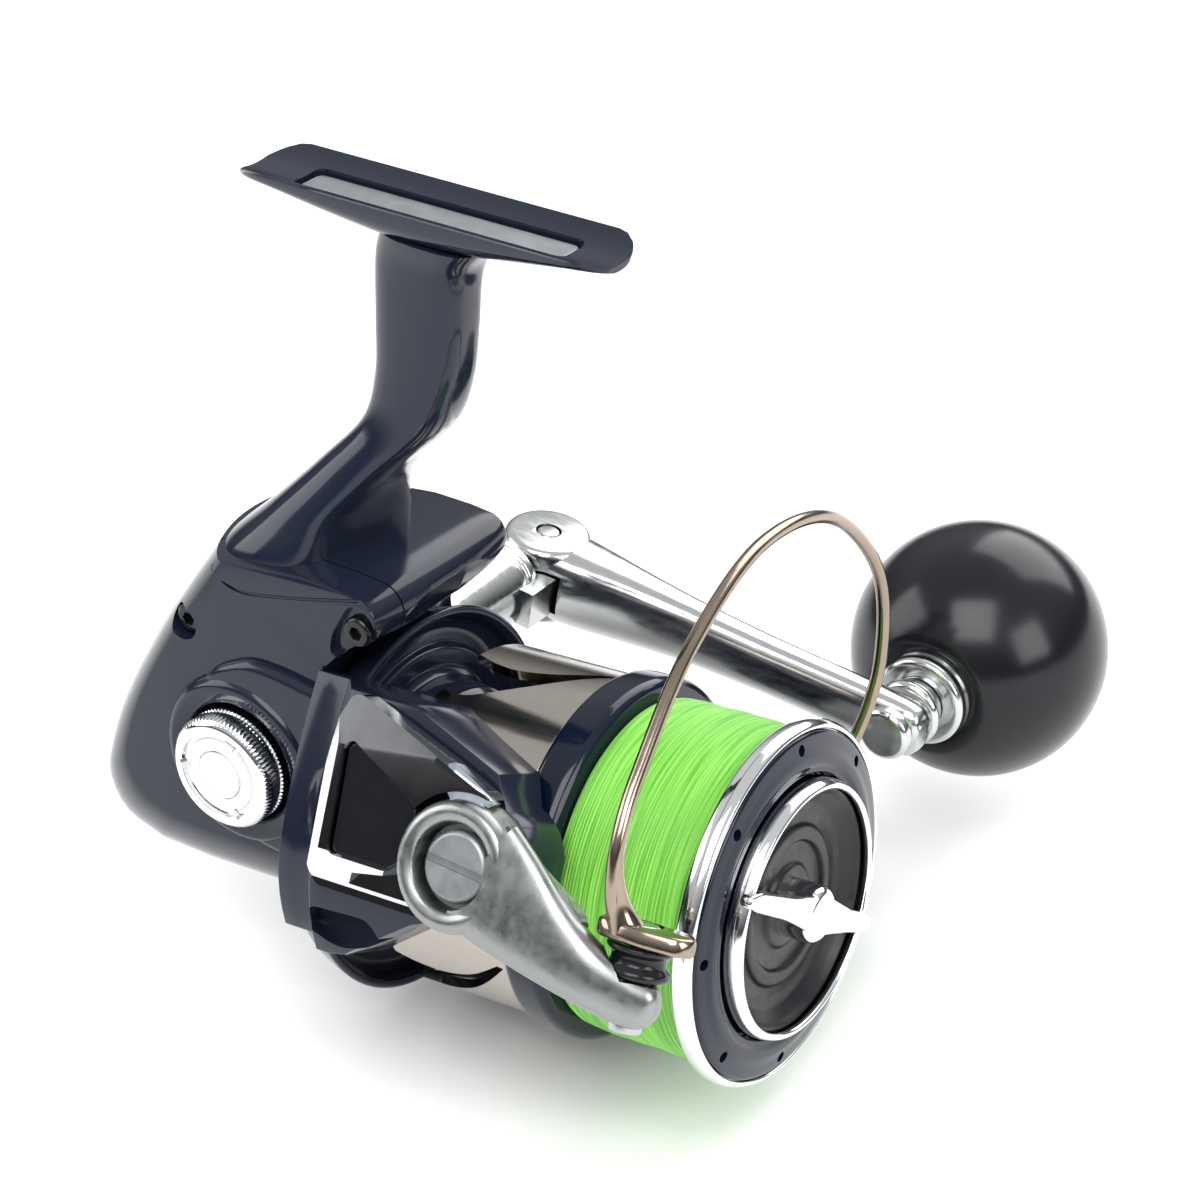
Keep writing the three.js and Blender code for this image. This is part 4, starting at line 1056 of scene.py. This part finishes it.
def build_handle():
    profile = [(19.1, 3.1), (19.1, 9.3), (19.8, 9.6), (21.2, 9.4), (21.8, 8.7), (22.3, 7.6), (22.3, 3.1)]
    collar = turned("collar_ring", rounded(profile, 0.3, 3, closed=True), "Y", CRANK, "handle_silver", 96)
    belongs(collar, "crank", "handle_collar")
    profile = [(-7, 0), (-7, 2.7), (22.5, 2.7), (22.5, 6.8), (23.4, 7.0), (24.4, 6.6), (25.4, 6.1), (31,
            6.1), (36, 6.5),
               (41, 6.9), (45, 7.3), (46, 7.3), (46.4, 7.0), (46.9, 7.0), (47.3, 7.4), (48.7, 7.4),
               (49.2, 6.9), (49.2, 0)]
    shank = turned("shank_body", rounded(profile, 0.4, 4), "Y", CRANK, "handle_silver", 112)
    tongue = prism("tongue", [(-3, 44), (9, 44), *arc(HINGE_X, HINGE_Y, 6, 0, 180, 20)], "Z", -3.2, 3.2,
                   CRANK,
                   "handle_silver")
    carve(tongue, [turned("cutter", rod(-9, 9, 2.1), "Z", CRANK, "steel", 40, at=(HINGE_X, HINGE_Y, 0))],
          sharp=38)
    belongs(shank, "crank", "handle_shank")
    belongs(tongue, "crank", slot="handle_silver")
    pin = turned("fold_pin", rounded([(-6.8, 0), (-6.8, 1.6), (-6.4, 1.95), (6.4, 1.95), (6.8, 1.6),
            (6.8, 0)], 0.2, 3),
                 "Z", CRANK, "steel", 48, at=(HINGE_X, HINGE_Y, 0))
    belongs(pin, "crank", "hinge_pin")


ARM_SPINE = [(1, 56.5, 6.9, 6.4), (6, 56.5, 6.8, 6.3), (12, 56.7, 6.5, 5.8), (20, 57.2, 5.9, 4.6), (30,
        57.9,
        5.1,
        3.6),
             (42, 58.5, 4.6, 3.1), (54, 59, 4.5, 2.9), (66, 59.3, 4.6, 2.9), (70, 59.3, 4.2, 2.8), (71.6,
        59.3,
        2.6,
        2.3)]


def build_handle_arm():
    """Forked root, long tapering bar with a raised ridge, rounded end at the knob's shaft."""
    xs = through([(x, y, 0) for x, y, _, _ in ARM_SPINE], 60)
    sizes = through([(tall, thick, 0) for _, _, tall, thick in ARM_SPINE], 60)
    rings = []
    for (x, y, _), (tall, thick, _) in zip(xs, sizes):
        section = []
        for k in range(40):
            angle = 2 * math.pi * k / 40
            c, s = math.cos(angle), math.sin(angle)
            across = math.copysign(abs(c) ** 0.75, c) * thick
            up = math.copysign(abs(s) ** 0.6, s) * tall
            section.append((x, y + across, up))
        rings.append(section)
    arm = loft("crank_arm_body", rings, CRANK, "handle_silver", 60)
    root = turned("root", rounded([(-6.8, 0), (-6.8, 6.2), (-6.1, 7), (6.1, 7), (6.8, 6.2), (6.8, 0)],
            0.5, 3), "Z",
                  CRANK, "handle_silver", 80, at=(HINGE_X, HINGE_Y, 0))
    slot = [(-8, 44), (9.6, 44), (9.6, HINGE_Y), *arc(HINGE_X, HINGE_Y, 6.6, 0, 90, 10), (-8, HINGE_Y + 6.6)]
    for thing in (arm, root):
        cuts = [
            prism("cutter", slot, "Z", -3.5, 3.5, CRANK, "steel"),
            turned("cutter", rod(-12, 12, 2.1), "Z", CRANK, "steel", 40, at=(HINGE_X, HINGE_Y, 0)),
        ]
        if thing is arm:
            cuts.append(turned("cutter", rod(50, 70, 2.7), "Y", CRANK, "steel", 40, at=(HANDLE_LENGTH, 0,
                    0)))
        carve(thing, cuts, sharp=38)
    belongs(root, "handle", slot="handle_silver")
    return belongs(arm, "handle", "handle_arm")


def build_knob():
    at = (HANDLE_LENGTH, 0, 0)
    profile = [(54.4, 0), (54.4, 3.6), (55, 4.2), (56.4, 4.3), (56.4, 2.4), (61.6, 2.4), (62.0, 4.9),
               (62.6, 5.4), (63.4, 5.4),
               (63.8, 4.6), (64.1, 4.4), (64.4, 4.6), (64.8, 4.6), (65.1, 4.3), (66.0, 4.3), (66.0, 2.4),
               (95, 2.4), (95, 0)]
    shaft = turned("knob_axle", rounded(profile, 0.25, 3), "Y", CRANK, "handle_silver", 72, at=at)
    belongs(shaft, "handle", "knob_shaft")
    profile = [(66.2, 2.8), (66.2, 6.6), (66.6, 7.2), (67.4, 7.4), (68.3, 7.3), (68.6, 7.0), (69.4, 7.4),
               (70.1, 7.6),
               (70.1, 2.8)]
    flange = turned("knob_base", rounded(profile, 0.3, 4, closed=True), "Y", CRANK, "handle_silver", 80,
                    at=at)
    belongs(flange, "knob", "knob_flange")
    ball = [(KNOB_Y + along, radius) for radius, along in arc(0, 0, KNOB_R, -62, 62, 52)]
    profile = [(69.2, 5.3), (69.2, 8.0), *ball, (104.8, 8.8), (104.6, 7.4), (104.4, 5.3)]
    knob = turned("ball_knob", profile, "Y", CRANK, "black_knob", 128, at=at, sharp=40)
    belongs(knob, "knob", "handle_knob")
    profile = [(102, 0), (102, 5), (104.9, 5), (105, 8.2), (105.8, 7.8), (106.4, 6), (106.8, 3), (106.9, 0)]
    cap = turned("knob_end_cap", rounded(profile, 0.4, 4), "Y", CRANK, "black_plastic", 72, at=at)
    belongs(cap, "knob", "knob_cap")


# ---- the whole object --------------------------------------------------------------------

build_frame()
build_cover()
build_screws()
build_guard()
build_plate()
build_cap()
build_rotor()
build_covers()
build_nut()
build_bail_arm()
build_pivot_screws()
build_lever()
build_wire()
build_wire_cap()
build_roller()
build_spool()
build_line()
build_lip()
build_drag_knob()
build_handle()
build_handle_arm()
build_knob()

for node, thing in frame["nodes"].items():
    thing.data.materials.clear()
    thing.data.materials.append(MATERIALS[SLOT_OF[node]])

# ---- stage -------------------------------------------------------------------------------


FLOOR_HALF = 6.0
FLOOR_GAP = 0.001
WORLD_STRENGTH = 0.9
LENS = 94.87
SENSOR = 36
CAMERA_ANGLES = (34.24, 27.01, -2.75)
CAMERA_AIM = (-45, 0, 20)
CAMERA_OFFSETS = (12.58, 14.26, 444.34)


def build_floor():
    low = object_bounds()[0][2] - FLOOR_GAP
    size = FLOOR_HALF
    mesh = bpy.data.meshes.new("floor")
    mesh.from_pydata([(-size, -size, low), (size, -size, low), (size, size, low), (-size, size, low)],
            [], [(0, 1, 2, 3)])
    floor = bpy.data.objects.new("floor", mesh)
    bpy.context.scene.collection.objects.link(floor)
    paint = Paint("floor_white", (0.93, 0.93, 0.93), 0.6)
    mesh.materials.append(paint.material)


def add_light(name, place, size, power, target=(0.0, 0, -0.08), tall=None):
    data = bpy.data.lights.new(name, "AREA")
    data.energy = power
    data.shape = "RECTANGLE"
    data.size = size
    data.size_y = tall or size
    lamp = bpy.data.objects.new(name, data)
    lamp.location = place
    lamp.rotation_euler = (Vector(target) - Vector(place)).to_track_quat("-Z", "Y").to_euler()
    bpy.context.scene.collection.objects.link(lamp)


def build_world():
    world = bpy.data.worlds.new("studio")
    bpy.context.scene.world = world
    world.use_nodes = True
    nodes = world.node_tree.nodes
    links = world.node_tree.links
    sky = nodes.new("ShaderNodeTexCoord")
    split = nodes.new("ShaderNodeSeparateXYZ")
    links.new(sky.outputs["Generated"], split.inputs[0])
    ramp = nodes.new("ShaderNodeValToRGB")
    ramp.color_ramp.elements[0].position = 0.08
    ramp.color_ramp.elements[0].color = (0.1, 0.105, 0.11, 1)
    ramp.color_ramp.elements[1].position = 0.6
    ramp.color_ramp.elements[1].color = (0.85, 0.86, 0.87, 1)
    links.new(split.outputs["Z"], ramp.inputs[0])
    links.new(ramp.outputs[0], nodes["Background"].inputs[0])
    nodes["Background"].inputs[1].default_value = WORLD_STRENGTH


def build_camera():
    """A long lens from the front left and above, turned a little about its own axis."""
    azimuth, elevation, roll = (math.radians(a) for a in CAMERA_ANGLES)
    back = Vector((math.sin(azimuth) * math.cos(elevation), -math.cos(azimuth) * math.cos(elevation),
                   math.sin(elevation)))
    right = (-back).cross(Vector((0, 0, 1))).normalized()
    up = right.cross(-back)
    side = right * math.cos(roll) + up * math.sin(roll)
    top = up * math.cos(roll) - right * math.sin(roll)
    aim = REEL @ Vector(CAMERA_AIM)
    sideways, upwards, away = CAMERA_OFFSETS
    spot = aim + (side * sideways + top * upwards + back * away) * 0.001
    data = bpy.data.cameras.new("camera")
    data.lens = LENS
    data.sensor_width = SENSOR
    data.clip_start = 0.01
    camera = bpy.data.objects.new("camera", data)
    camera.matrix_world = Matrix((
        (side.x, top.x, back.x, spot.x),
        (side.y, top.y, back.y, spot.y),
        (side.z, top.z, back.z, spot.z),
        (0, 0, 0, 1)))
    bpy.context.scene.collection.objects.link(camera)
    bpy.context.scene.camera = camera


bpy.context.scene.view_settings.view_transform = "Standard"
build_floor()
build_world()
build_camera()
add_light("key", (0.25, -0.55, 0.75), 0.7, 9)
add_light("fill", (-0.75, -0.35, 0.35), 0.6, 4)
add_light("rim", (0.1, 0.8, 0.5), 0.8, 7)
add_light("front", (0.9, -0.1, 0.3), 0.5, 4)
